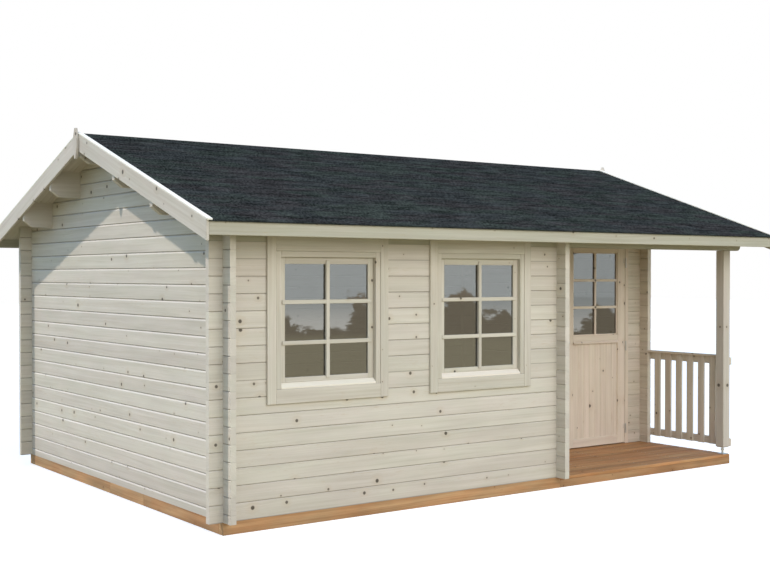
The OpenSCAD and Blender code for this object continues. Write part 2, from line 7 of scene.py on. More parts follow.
import bmesh
import bpy
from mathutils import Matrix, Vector

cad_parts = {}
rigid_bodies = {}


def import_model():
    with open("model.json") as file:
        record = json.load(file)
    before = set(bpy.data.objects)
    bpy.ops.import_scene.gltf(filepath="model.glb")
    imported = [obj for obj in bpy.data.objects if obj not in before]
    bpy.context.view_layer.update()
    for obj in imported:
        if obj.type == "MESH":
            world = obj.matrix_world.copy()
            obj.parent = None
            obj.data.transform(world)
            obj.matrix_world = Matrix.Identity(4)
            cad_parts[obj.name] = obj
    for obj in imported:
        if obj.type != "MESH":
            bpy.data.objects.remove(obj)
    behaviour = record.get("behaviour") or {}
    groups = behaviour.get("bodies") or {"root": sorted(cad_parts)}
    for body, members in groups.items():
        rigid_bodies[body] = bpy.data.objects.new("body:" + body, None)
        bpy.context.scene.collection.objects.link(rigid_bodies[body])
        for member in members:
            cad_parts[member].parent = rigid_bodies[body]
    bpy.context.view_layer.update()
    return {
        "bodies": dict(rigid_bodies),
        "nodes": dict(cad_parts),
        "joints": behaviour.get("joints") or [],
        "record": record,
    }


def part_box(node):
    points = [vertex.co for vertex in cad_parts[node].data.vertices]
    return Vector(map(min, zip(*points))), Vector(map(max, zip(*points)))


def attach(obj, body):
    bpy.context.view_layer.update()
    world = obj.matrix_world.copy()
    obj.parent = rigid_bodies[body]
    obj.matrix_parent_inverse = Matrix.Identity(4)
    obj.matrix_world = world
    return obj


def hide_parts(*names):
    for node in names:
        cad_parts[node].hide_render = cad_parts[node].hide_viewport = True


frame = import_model()
nodes = frame["nodes"]

# Walls, base and porch
LEFT, RIGHT = -2.55, 2.55
FRONT, BACK = -1.835, 1.835
CROSS = 0.412
DOOR_FACE = -0.805
LOG_T, LOG_H = 0.044, 0.114
BASE_H, BEAM_W, FLOOR_T = 0.085, 0.06, 0.026
FLOOR_BOARD_W = 0.115
SEAMS = (-0.6, 0.02)
PORCH_X = CROSS + LOG_T
JOIST_W, PORCH_BAYS = 0.045, 4
DECK_N, DECK_GAP = 11, 0.004
DECK_PITCH = (DOOR_FACE - FRONT + DECK_GAP) / DECK_N

# Roof
PITCH = math.radians(19)
EAVE_Z = 2.107
EAVE, VERGE = 2.125, 2.815
EDGE_T = 0.02
ROOF_GAP = 0.0002
BOARD_T, SHINGLE_T, CAP_T = 0.018, 0.006, 0.012
SHINGLE_OVER = 0.014
BARGE_W, FASCIA_H, CAP_W = 0.124, 0.088, 0.038
FINIAL_H, FINIAL_W, FINIAL_TIP, FINIAL_RISE = 0.236, 0.076, 0.02, 0.028
BOARDS_TOP = ROOF_GAP + BOARD_T / math.cos(PITCH)
COVER_TOP = BOARDS_TOP + ROOF_GAP + SHINGLE_T / math.cos(PITCH)
CAP_LOW = COVER_TOP + ROOF_GAP
CAP_TOP = CAP_LOW + CAP_T / math.cos(PITCH)
ROOF_BOARD_N, ROOF_BOARD_GAP = 60, 0.001
COVER_X = VERGE - CAP_W
COURSE_N, TAB_W, TAB_GAP, TAB_T = 16, 0.2, 0.0025, 0.0016
TAB_SUNK, TAB_HEAD_T, TAB_LEAST = 0.0006, 0.0004, 0.001
RIDGE_N, RIDGE_WING, RIDGE_T, RIDGE_FOLD_T = 38, 0.11, 0.0025, 0.00375

# Windows
WINDOW_XS = (-1.733, -0.369)
WINDOW_W, WINDOW_LOW, WINDOW_HIGH = 0.85, 0.928, 1.852
WINDOW_GAP = 0.0004
CASING_W, CASING_END, CASING_T = 0.068, 0.098, 0.018
FRAME_W, FRAME_BACK = 0.04, 0.004
SILL_H, SILL_RISE = 0.012, 0.027
SASH_BACK, SASH_W, SASH_LOW, SASH_T = 0.03, 0.046, 0.034, 0.028
PANE_T = 0.004
BAR_W, BAR_T, BAR_SHORT = 0.028, 0.008, 0.02
WINDOW_BARS = (1.233, 1.509)

# Door
LEAF = ((1.512, -0.807, 0.093), (2.298, -0.767, 1.976))
STILE_W, TOP_RAIL, BOTTOM_RAIL = 0.1, 0.071, 0.079
PANEL_HIGH, GLAZING_LOW = 1.051, 1.126
BEAD_W, BEAD_BACK = 0.012, 0.006
LEDGE_H, LEDGE_OUT = 0.024, 0.014
PANEL_BOARDS = 8
JAMB_W, JAMB_T, DOORWAY_TOP = 0.042, 0.08, 2.023
STOP_W, THRESHOLD_H = 0.015, 0.023
LEAF_GAP = 0.005
HINGE_AXIS, KNUCKLE_R, PAINT_LINE = (2.3005, -0.814, 0.0), 0.007, 0.0005
DOOR_BAR_W, DOOR_BAR_PROUD = 0.024, 0.002

# Railing
RAIL_H = 0.066
BALUSTER_N, BALUSTER_W = 6, 0.068

# Screw heads in the deck
SCREW_R, SCREW_H = 0.0042, 0.0012

# Easing of sawn edges, and the step between bars that cross in one plane
EDGE, SOFT_EDGE, FINE_EDGE = 0.0025, 0.004, 0.001
LAP = 0.001

# Wood's figure: room that boards are strewn over, how squarely end grain faces, and how fibres run
FIGURE_ROOM = 40.0
END_FACING = (0.8, 0.9)
GRAIN_BEND, GRAIN_SWAY, RING_TINT = -0.6, 0.05, 0.55

# Knots: cell of one, least share of full size and strength, fade of the rim and reach of the halo in radii
KNOT_CELL = (0.31, 0.105, 1.0)
KNOT_LEAST, KNOT_FAINTEST = 0.3, 0.55
KNOT_RIM, HALO_REACH = (1.25, 0.7), 5.0

# Wood's finish: share of each mark's colour, spread of roughness, and relief
HALO_TINT, FLECK_TINT, KNOT_TINT = 0.3, 0.5, 0.92
GLOSS_SPREAD = 0.07
RELIEF, RELIEF_DEPTH, KNOT_RELIEF = 0.35, 0.0016, 0.8

# Painted shade in the joints over a course's foot: where it fades, its colour, its share by wall and at log
# ends
JOINT_FADE = (0.008, 0.004)
JOINT_SHADE_COLOUR = (0.095, 0.07, 0.045, 1)
OPEN_JOINT, FRONT_JOINT, SHADED_JOINT = 0.5, 0.42, 0.2
JOINT_AT_ENDS = 0.2

# Eased edges under a course's top: where they fade, the colour of their painted highlight with its share, and
# their tilt
EASE_FADE = (0.0135, 0.0095)
EASE_HIGHLIGHT_COLOUR, EASE_HIGHLIGHT_SHARE = (0.86, 0.84, 0.80, 1), 0.25
EASE_TILT = 0.55

# Where most values of a noise lie
NOISE_SPAN = (0.3, 0.7)

# Marks in noise: scale along each axis, values that they fade in between, detail and roughness
FINE_GRAIN = (1.6, 150.0, 150.0), (0.34, 0.7), 3.0, 0.6
BROAD_GRAIN = (0.7, 34.0, 34.0), (0.36, 0.68), 1.0
RINGS = (300.0, 1.0, 1.0), (0.3, 0.7), 1.0
DRIFT = (3.0, 9.0, 9.0), (0.35, 0.65), 2.0
DASHES = (16.0, 240.0, 240.0), (0.62, 0.70), 1.0
STREWN = (1.6, 11.0, 11.0), (0.50, 0.62), 1.0
STREAKS = (5.0, 15.0, 0.0), (0.36, 0.64), 3.0, 0.65
PATCHES = (1.7, 4.5, 0.0), (0.42, 0.58), 2.0
HUES = (1.9, 6.0, 9.0), (0.46, 0.62), 2.0
GRIT = (84.0, 36.0, 0.0), (0.42, 0.58), 1.0
BREAKS = (7.0, 2.0, 0.0), (0.42, 0.56), 2.0

# Humps of the skyline in the panes: bearing from the front and half width in degrees, height as a sine;
# each fades between two shares of its half width
HUMP_FADE = (1.3, 0.4)
SKYLINE = (
    (30.8, 0.3, 0.012), (34.4, 0.6, 0.030), (39.3, 1.0, 0.030), (41.2, 0.9, 0.013),
    (45.45, 0.4, 0.010), (46.1, 0.65, 0.017),
)

# Directions
X, Y, Z = Vector((1, 0, 0)), Vector((0, 1, 0)), Vector((0, 0, 1))


def under_roof(y):
    """Height of the roof boards' underside at y."""
    return EAVE_Z + (BACK - abs(y)) * math.tan(PITCH)


def span(middle, reach):
    """Both ends of a stretch about its middle."""
    return middle - reach, middle + reach


def axis_number(direction):
    """Number of the axis that X, Y or Z lies along."""
    return direction[:].index(1)


def new_object(name, data):
    """Object at the origin, in the scene."""
    made = bpy.data.objects.new(name, data)
    bpy.context.scene.collection.objects.link(made)
    return made


class Wiring:
    """Adds nodes to a tree and links what each one reads."""

    def __init__(self, tree):
        self.tree = tree

    def feed(self, socket, value):
        if isinstance(value, bpy.types.NodeSocket):
            self.tree.links.new(value, socket)
        else:
            socket.default_value = value

    def node(self, kind, settings=None, **inputs):
        made = self.tree.nodes.new(kind)
        for key, value in (settings or {}).items():
            setattr(made, key, value)
        for key, value in inputs.items():
            self.feed(made.inputs[key.replace("_", " ")], value)
        return made

    def calc(self, operation, *values):
        made = self.node("ShaderNodeMath", {"operation": operation})
        for socket, value in zip(made.inputs, values):
            self.feed(socket, value)
        return made.outputs[0]

    def times(self, first, second):
        return self.calc("MULTIPLY", first, second)

    def plus(self, first, second):
        return self.calc("ADD", first, second)

    def minus(self, first, second):
        return self.calc("SUBTRACT", first, second)

    def vector(self, operation, *values):
        made = self.node("ShaderNodeVectorMath", {"operation": operation})
        for socket, value in zip(made.inputs, values):
            self.feed(socket, value)
        return made.outputs["Value"] if operation == "LENGTH" else made.outputs[0]

    def longer(self, vector, factor):
        made = self.node("ShaderNodeVectorMath", {"operation": "SCALE"}, Scale=factor)
        self.feed(made.inputs[0], vector)
        return made.outputs[0]

    def join(self, x, y, z):
        return self.node("ShaderNodeCombineXYZ", X=x, Y=y, Z=z).outputs[0]

    def split(self, vector):
        return self.node("ShaderNodeSeparateXYZ", Vector=vector).outputs

    def smooth(self, value, low, high):
        """From 0 at low to 1 at high."""
        made = self.node(
            "ShaderNodeMapRange", {"interpolation_type": "SMOOTHSTEP"},
            Value=value, From_Min=low, From_Max=high,
        )
        return made.outputs["Result"]

    def ramp(self, value, to_low, to_high, low=0.0, high=1.0):
        """From to_low at low to to_high at high, in a straight line."""
        made = self.node(
            "ShaderNodeMapRange", Value=value, From_Min=low, From_Max=high, To_Min=to_low, To_Max=to_high
        )
        return made.outputs["Result"]

    def noise(self, vector, scale=1.0, detail=2.0, roughness=0.5):
        made = self.node("ShaderNodeTexNoise", Vector=vector, Scale=scale, Detail=detail, Roughness=roughness)
        return made.outputs[0]

    def stretched(self, place, scales, detail=2.0, roughness=0.5):
        """Noise with its own scale along each axis."""
        return self.noise(self.vector("MULTIPLY", place, scales), 1.0, detail, roughness)

    def marks(self, place, scales, fade, detail, roughness=0.5):
        """Stretched noise, faded in between two values."""
        return self.smooth(self.stretched(place, scales, detail, roughness), *fade)

    def tint(self, factor, first, second, blend="MIX"):
        made = self.node("ShaderNodeMix", {"data_type": "RGBA", "blend_type": blend})
        for index, value in zip((0, 6, 7), (factor, first, second)):
            self.feed(made.inputs[index], value)
        return made.outputs[2]

    def attribute(self, name):
        return self.node("ShaderNodeAttribute", {"attribute_name": name}).outputs

    def bump(self, height, strength, distance, normal=None):
        made = self.node("ShaderNodeBump", Strength=strength, Distance=distance, Height=height)
        if normal is not None:
            self.feed(made.inputs["Normal"], normal)
        return made.outputs[0]


def node_group(name, kind, inputs, outputs):
    """New node group with its sockets; gives its wiring, input sockets and output sockets."""
    tree = bpy.data.node_groups.new(name, kind)
    for label, socket in inputs:
        tree.interface.new_socket(name=label, in_out="INPUT", socket_type=socket)
    for label, socket in outputs:
        tree.interface.new_socket(name=label, in_out="OUTPUT", socket_type=socket)
    entry = tree.nodes.new("NodeGroupInput")
    leave = tree.nodes.new("NodeGroupOutput")
    return Wiring(tree), entry.outputs, leave.inputs


FLOAT, VECTOR = "NodeSocketFloat", "NodeSocketVector"
COUNT, OBJECT, MATERIAL = "NodeSocketInt", "NodeSocketObject", "NodeSocketMaterial"
GEOMETRY = ("Geometry", "NodeSocketGeometry")


def wood_figure_group():
    """Grain that runs along the figure's X and bends round knots, and rings where a board's end shows."""
    wire, given, gives = node_group(
        "wood figure",
        "ShaderNodeTree",
        [("Figure", VECTOR), ("End", FLOAT), ("Knot Share", FLOAT), ("Knot Size", FLOAT)],
        [("Grain", FLOAT), ("Knot", FLOAT), ("Halo", FLOAT)],
    )
    figure = given["Figure"]
    u, v, w = wire.split(figure)
    cells = wire.vector("DIVIDE", wire.join(u, wire.plus(v, w), 0.0), KNOT_CELL)
    knots = wire.node(
        "ShaderNodeTexVoronoi", {"voronoi_dimensions": "2D", "feature": "F1"}, Vector=cells, Scale=1.0
    )
    chance = wire.split(knots.outputs["Color"])
    away = wire.vector("MULTIPLY", wire.vector("SUBTRACT", cells, knots.outputs["Position"]), KNOT_CELL)
    along, across, _ = wire.split(away)
    distance = wire.vector("LENGTH", wire.join(along, across, 0.0))
    girth = wire.times(chance[0], chance[0])
    radius = wire.times(given["Knot Size"], wire.ramp(girth, KNOT_LEAST, 1.0))
    flat = wire.minus(1.0, given["End"])
    there = wire.times(wire.calc("LESS_THAN", chance[1], given["Knot Share"]), flat)
    there = wire.times(there, wire.ramp(chance[0], KNOT_FAINTEST, 1.0))
    rim = (wire.times(radius, share) for share in KNOT_RIM)
    knot = wire.times(wire.smooth(distance, *rim), there)
    halo = wire.times(wire.smooth(distance, wire.times(radius, HALO_REACH), radius), there)

    sway = wire.stretched(figure, (0.9, 4.0, 4.0), 1.0)
    bend = wire.times(wire.times(halo, across), GRAIN_BEND)
    v = wire.plus(wire.plus(v, bend), wire.times(sway, GRAIN_SWAY))
    lines = wire.join(u, v, w)
    fine = wire.marks(lines, *FINE_GRAIN)
    broad = wire.marks(lines, *BROAD_GRAIN)
    grain = wire.plus(wire.times(fine, 0.5), wire.times(broad, 0.5))
    pith = wire.vector("LENGTH", wire.join(0.0, v, w))
    rings = wire.marks(wire.join(pith, u, 0.0), *RINGS)
    wire.feed(gives["Grain"], wire.ramp(given["End"], grain, wire.times(rings, RING_TINT)))
    wire.feed(gives["Knot"], knot)
    wire.feed(gives["Halo"], halo)
    return wire.tree


def course_group():
    """Place in the wood of each course of logs or boards, counted along Rise from Base."""
    wire, given, gives = node_group(
        "courses",
        "ShaderNodeTree",
        [(label, FLOAT) for label in ("Along", "Rise", "Depth", "Base", "Course", "Seed")],
        [("Figure", VECTOR), ("Joint", FLOAT), ("Ease", FLOAT), ("Tone", FLOAT)],
    )
    counted = wire.calc("DIVIDE", wire.minus(given["Rise"], given["Base"]), given["Course"])
    index = wire.calc("FLOOR", counted)
    part = wire.minus(counted, index)
    key = wire.join(index, given["Seed"], 0.0)
    chance = wire.node("ShaderNodeTexWhiteNoise", {"noise_dimensions": "2D"}, Vector=key)
    across = wire.times(wire.minus(part, 0.5), given["Course"])
    place = wire.join(given["Along"], across, given["Depth"])
    shift = wire.vector("MULTIPLY", chance.outputs["Color"], (31.0, 17.0, 11.0))
    over_foot = wire.times(part, given["Course"])
    under_top = wire.times(wire.minus(1.0, part), given["Course"])
    wire.feed(gives["Figure"], wire.vector("ADD", place, shift))
    wire.feed(gives["Joint"], wire.smooth(over_foot, *JOINT_FADE))
    wire.feed(gives["Ease"], wire.smooth(under_top, *EASE_FADE))
    wire.feed(gives["Tone"], chance.outputs["Value"])
    return wire.tree


wood_figure = wood_figure_group()
courses = course_group()


FAINT_CASTS = (1.01, 0.985, 0.985), (0.985, 1.0, 0.965)
STRONG_CASTS = (1.07, 0.92, 0.82), (0.96, 1.05, 1.08)


class Wood:
    """One kind of sawn wood: colours of its grain, knots and their halos, share and largest radius of its
    knots, its roughness with its spread of tone from board to board and within one, and its casts of hue."""

    def __init__(self, light, dark, knot, halo, knots, finish, casts=FAINT_CASTS):
        self.light, self.dark, self.knot, self.halo = ((*colour, 1) for colour in (light, dark, knot, halo))
        self.knot_share, self.knot_size = knots
        self.roughness, self.spread, self.blotch = finish
        self.casts = [(*colour, 1) for colour in casts]


PALE = Wood(
    (0.637, 0.590, 0.520), (0.558, 0.510, 0.433), (0.065, 0.052, 0.038), (0.53, 0.43, 0.31),
    (0.34, 0.0145), (0.62, 0.08, 0.05),
)
# Pale wood made lighter and warmer for the pieces in the porch: painted light standing in for warm light
# bounced into the porch's shade
SHADE_LIFTED = Wood(
    (0.70, 0.625, 0.535), (0.58, 0.505, 0.41), (0.065, 0.05, 0.036), (0.55, 0.43, 0.30),
    (0.5, 0.013), (0.62, 0.06, 0.05),
)
FRESH = Wood(
    (0.615, 0.572, 0.497), (0.525, 0.477, 0.395), (0.065, 0.052, 0.038), (0.53, 0.43, 0.31),
    (0.35, 0.011), (0.60, 0.07, 0.05),
)
# Near-white wood for the sills: partly their own pale colour, partly painted light for the sky on their
# upward faces
SKYLIT_SILL = Wood(
    (0.86, 0.79, 0.685), (0.78, 0.705, 0.60), (0.16, 0.11, 0.08), (0.72, 0.62, 0.50),
    (0.1, 0.005), (0.55, 0.03, 0.03),
)
EDGING = Wood(
    (0.585, 0.535, 0.47), (0.50, 0.445, 0.38), (0.065, 0.052, 0.038), (0.48, 0.39, 0.29),
    (0.85, 0.018), (0.60, 0.05, 0.04),
)
# Pale wood made darker and yellower for the eaves boards and the porch beam: painted shade, as at and under
# the roof's edge
EAVES_SHADE = Wood(
    (0.472, 0.452, 0.37), (0.40, 0.377, 0.292), (0.065, 0.052, 0.038), (0.42, 0.35, 0.24),
    (0.5, 0.014), (0.60, 0.06, 0.04),
)
# Near-white wood for the barge caps: partly their own pale colour, partly painted light for the sun on their
# upward faces
SUNLIT_CAPPING = Wood(
    (0.80, 0.775, 0.70), (0.72, 0.69, 0.61), (0.16, 0.11, 0.08), (0.70, 0.62, 0.51),
    (0.12, 0.006), (0.55, 0.05, 0.03),
)
DOOR = Wood(
    (0.76, 0.65, 0.545), (0.66, 0.55, 0.45), (0.065, 0.045, 0.033), (0.57, 0.43, 0.31),
    (0.55, 0.017), (0.58, 0.06, 0.04),
)
TREATED = Wood(
    (0.485, 0.306, 0.162), (0.342, 0.189, 0.09), (0.10, 0.05, 0.025), (0.36, 0.18, 0.08),
    (0.4, 0.014), (0.66, 0.06, 0.18), STRONG_CASTS,
)
DECKING = Wood(
    (0.55, 0.295, 0.135), (0.37, 0.178, 0.073), (0.08, 0.038, 0.02), (0.32, 0.155, 0.07),
    (0.3, 0.013), (0.66, 0.16, 0.12), STRONG_CASTS,
)


def blank_material(name):
    """Empty material and its wiring."""
    made = bpy.data.materials.new(name)
    made.use_nodes = True
    made.node_tree.nodes.clear()
    return made, Wiring(made.node_tree)


def show(wire, **inputs):
    """Surface of a material, with what it reads."""
    surface = wire.node("ShaderNodeBsdfPrincipled", **inputs)
    wire.node("ShaderNodeOutputMaterial", Surface=surface.outputs[0])


def finish_wood(wire, wood, figure, end, tone, joint=None, ease=None):
    """Colour, roughness and relief of wood whose figure lies at the given place."""
    group = wire.node(
        "ShaderNodeGroup", {"node_tree": wood_figure},
        Figure=figure, End=end, Knot_Share=wood.knot_share, Knot_Size=wood.knot_size,
    )
    grain, knot, halo = (group.outputs[label] for label in ("Grain", "Knot", "Halo"))
    colour = wire.tint(grain, wood.light, wood.dark)
    colour = wire.tint(wire.times(halo, HALO_TINT), colour, wood.halo)
    drift = wire.marks(figure, *DRIFT)
    hue = wire.plus(wire.times(wire.calc("FRACT", wire.times(tone, 7.3)), 0.5), wire.times(drift, 0.5))
    colour = wire.tint(1.0, colour, wire.tint(hue, *wood.casts), "MULTIPLY")
    shade = wire.ramp(tone, 1.0 - wood.spread, 1.0 + wood.spread * 0.5)
    blotch = wire.stretched(figure, (2.2, 12.0, 12.0), 2.0)
    shade = wire.times(shade, wire.ramp(blotch, 1.0 - wood.blotch, 1.0 + wood.blotch, *NOISE_SPAN))
    colour = wire.tint(1.0, colour, wire.join(shade, shade, shade), "MULTIPLY")
    dashes = wire.marks(figure, *DASHES)
    strewn = wire.marks(figure, *STREWN)
    colour = wire.tint(wire.times(wire.times(dashes, strewn), FLECK_TINT), colour, wood.halo)
    colour = wire.tint(wire.times(knot, KNOT_TINT), colour, wood.knot)
    if joint is not None:
        # Painted shade in the groove at the foot of each course, darkest just over the joint
        colour = wire.tint(joint, colour, JOINT_SHADE_COLOUR)
    raised = None
    if ease is not None:
        # Painted highlight: the eased band under each course's top is lightened, as where light catches the
        # chamfer
        colour = wire.tint(wire.times(ease, EASE_HIGHLIGHT_SHARE), colour, EASE_HIGHLIGHT_COLOUR)
        flat = wire.node("ShaderNodeNewGeometry").outputs["Normal"]
        tilt = wire.join(0.0, 0.0, wire.times(ease, EASE_TILT))
        raised = wire.vector("NORMALIZE", wire.vector("ADD", flat, tilt))
    smoothest, roughest = wood.roughness - GLOSS_SPREAD, wood.roughness + GLOSS_SPREAD
    height = wire.plus(grain, wire.times(knot, KNOT_RELIEF))
    show(
        wire, Base_Color=colour, Roughness=wire.ramp(grain, smoothest, roughest), Specular_IOR_Level=0.25,
        Normal=wire.bump(height, RELIEF, RELIEF_DEPTH, raised),
    )


def board_material(name, wood):
    """Wood of loose boards, which carry their own figure."""
    made, wire = blank_material(name)
    figure = wire.attribute("wood")["Vector"]
    end = wire.attribute("board_end")["Fac"]
    tone = wire.attribute("board_tone")["Fac"]
    finish_wood(wire, wood, figure, end, tone)
    return made


def course_material(name, wood, axes, base, course, seed, joint=0.0, eased=False):
    """Wood of courses that the solid's own form shows; axes are those along, up and through a course."""
    made, wire = blank_material(name)
    along, rise, depth = (axis_number(direction) for direction in axes)
    coordinates = wire.node("ShaderNodeTexCoord").outputs
    place = wire.split(coordinates["Object"])
    normal = wire.split(coordinates["Normal"])
    end = wire.smooth(wire.calc("ABSOLUTE", normal[along]), *END_FACING)
    group = wire.node(
        "ShaderNodeGroup", {"node_tree": courses},
        Along=place[along], Rise=place[rise], Depth=place[depth], Base=base, Course=course, Seed=seed,
    )
    figure, foot, top, tone = group.outputs
    edges = {}
    if joint:
        # painted joint shade, weaker where end grain shows
        edges["joint"] = wire.times(foot, wire.ramp(end, joint, joint * JOINT_AT_ENDS))
    if eased:
        outward = wire.smooth(wire.times(normal[depth], place[depth]), 0.0, 1.0)
        within = wire.calc("LESS_THAN", wire.calc("ABSOLUTE", place[along]), BACK)
        # painted highlight and tilted normal on eased edges, kept to outer faces within the wall's length
        edges["ease"] = wire.times(top, wire.times(outward, within))
    finish_wood(wire, wood, figure, end, tone, **edges)
    return made


def shingle_material():
    """Mineral granules on bitumen: tabs of several tones, soft streaks along the courses, loose grit, and a
    painted shadow under the foot of each course.
    """
    made, wire = blank_material("shingle granules")
    place = wire.node("ShaderNodeTexCoord").outputs["Object"]
    tab = wire.attribute("tab_tone")["Fac"]
    streak = wire.marks(place, *STREAKS)
    patch = wire.marks(place, *PATCHES)
    hue = wire.marks(place, *HUES)
    grit = wire.marks(place, *GRIT)
    fine = wire.noise(place, 420.0, 1.0, 0.6)
    tone = wire.plus(wire.times(tab, 0.2), wire.times(streak, 0.28))
    tone = wire.plus(tone, wire.times(grit, 0.52))
    green = wire.tint(tone, (0.004, 0.006, 0.0053, 1), (0.052, 0.063, 0.056, 1))
    blue = wire.tint(tone, (0.005, 0.006, 0.0062, 1), (0.050, 0.056, 0.056, 1))
    brown = wire.tint(tone, (0.006, 0.0057, 0.006, 1), (0.054, 0.0535, 0.0535, 1))
    colour = wire.tint(hue, wire.tint(patch, green, blue), brown)
    # Painted shadow: a dark band on each course just under the foot of the next one, broken along its length
    from_ridge = wire.calc("ABSOLUTE", wire.split(place)[1])
    lap = wire.calc("FRACT", wire.times(from_ridge, COURSE_N / (EAVE + SHINGLE_OVER)))
    broken = wire.marks(place, *BREAKS)
    under = wire.times(wire.smooth(lap, 0.22, 0.0), broken)
    colour = wire.tint(wire.times(under, 0.6), colour, (0.004, 0.0045, 0.005, 1))
    colour = wire.tint(wire.times(wire.smooth(fine, 0.66, 0.74), 0.4), colour, (0.11, 0.125, 0.115, 1))
    show(
        wire, Base_Color=colour, Roughness=wire.ramp(grit, 0.84, 0.97), Specular_IOR_Level=0.0,
        Normal=wire.bump(wire.plus(grit, fine), 0.5, 0.0025),
    )
    return made


def steel_material():
    """Zinc-plated steel with its faint spangle."""
    made, wire = blank_material("galvanised steel")
    place = wire.node("ShaderNodeTexCoord").outputs["Object"]
    spangle = wire.node("ShaderNodeTexVoronoi", Vector=place, Scale=140.0).outputs["Color"]
    value = wire.split(spangle)[0]
    colour = wire.tint(value, (0.50, 0.50, 0.50, 1), (0.66, 0.66, 0.66, 1))
    show(wire, Base_Color=colour, Roughness=wire.ramp(value, 0.30, 0.46), Metallic=1.0)
    return made


def hinge_material():
    """Bare knuckles round the door's axis, plates painted with the door."""
    made, wire = blank_material("painted hinge")
    place = wire.node("ShaderNodeTexCoord").outputs["Object"]
    away = wire.vector("MULTIPLY", wire.vector("SUBTRACT", place, HINGE_AXIS), (1.0, 1.0, 0.0))
    painted = wire.smooth(wire.vector("LENGTH", away), KNUCKLE_R, KNUCKLE_R + PAINT_LINE)
    worn = wire.ramp(wire.noise(place, 90.0), 0.9, 1.0, *NOISE_SPAN)
    paint_colour = wire.tint(worn, (0.42, 0.36, 0.30, 1), (0.68, 0.58, 0.49, 1))
    colour = wire.tint(painted, (0.56, 0.53, 0.49, 1), paint_colour)
    bare = wire.minus(1.0, painted)
    show(wire, Base_Color=colour, Roughness=wire.ramp(painted, 0.42, 0.6), Metallic=bare)
    return made


def glass_material(name, index):
    """Clear panes with a breath of dust; a higher index throws back more of the sky."""
    made, wire = blank_material(name)
    place = wire.node("ShaderNodeTexCoord").outputs["Object"]
    dust = wire.stretched(place, (3.0, 3.0, 9.0), 3.0)
    colour = wire.tint(dust, (0.42, 0.44, 0.44, 1), (0.39, 0.39, 0.38, 1))
    haze = wire.ramp(dust, 0.0, 0.02, *NOISE_SPAN)
    show(wire, Base_Color=colour, Roughness=haze, Transmission_Weight=1.0, IOR=index)
    return made


FRESH_BOARDS = board_material("planed joinery", FRESH)
EDGING_BOARDS = board_material("edging boards", EDGING)
SHADE_LIFTED_BOARDS = board_material("railing boards", SHADE_LIFTED)
EAVES_SHADE_BOARDS = board_material("eaves boards", EAVES_SHADE)
SUNLIT_CAP_BOARDS = board_material("pale capping with painted sunlight", SUNLIT_CAPPING)
SKYLIT_SILL_BOARDS = board_material("pale sills with painted sky light", SKYLIT_SILL)
TREATED_BOARDS = board_material("treated beams", TREATED)
DECK_BOARDS = board_material("deck boards", DECKING)
DOOR_BOARDS = board_material("door boards", DOOR)
SHINGLES = shingle_material()
STEEL = steel_material()
HINGES = hinge_material()
WINDOW_GLASS = glass_material("window glass", 2.4)
DOOR_GLASS = glass_material("door glass", 2.2)


def settle(made, body, stands_for=()):
    """Fastens a finished piece to its body."""
    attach(made, body)
    if stands_for:
        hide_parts(*stands_for)


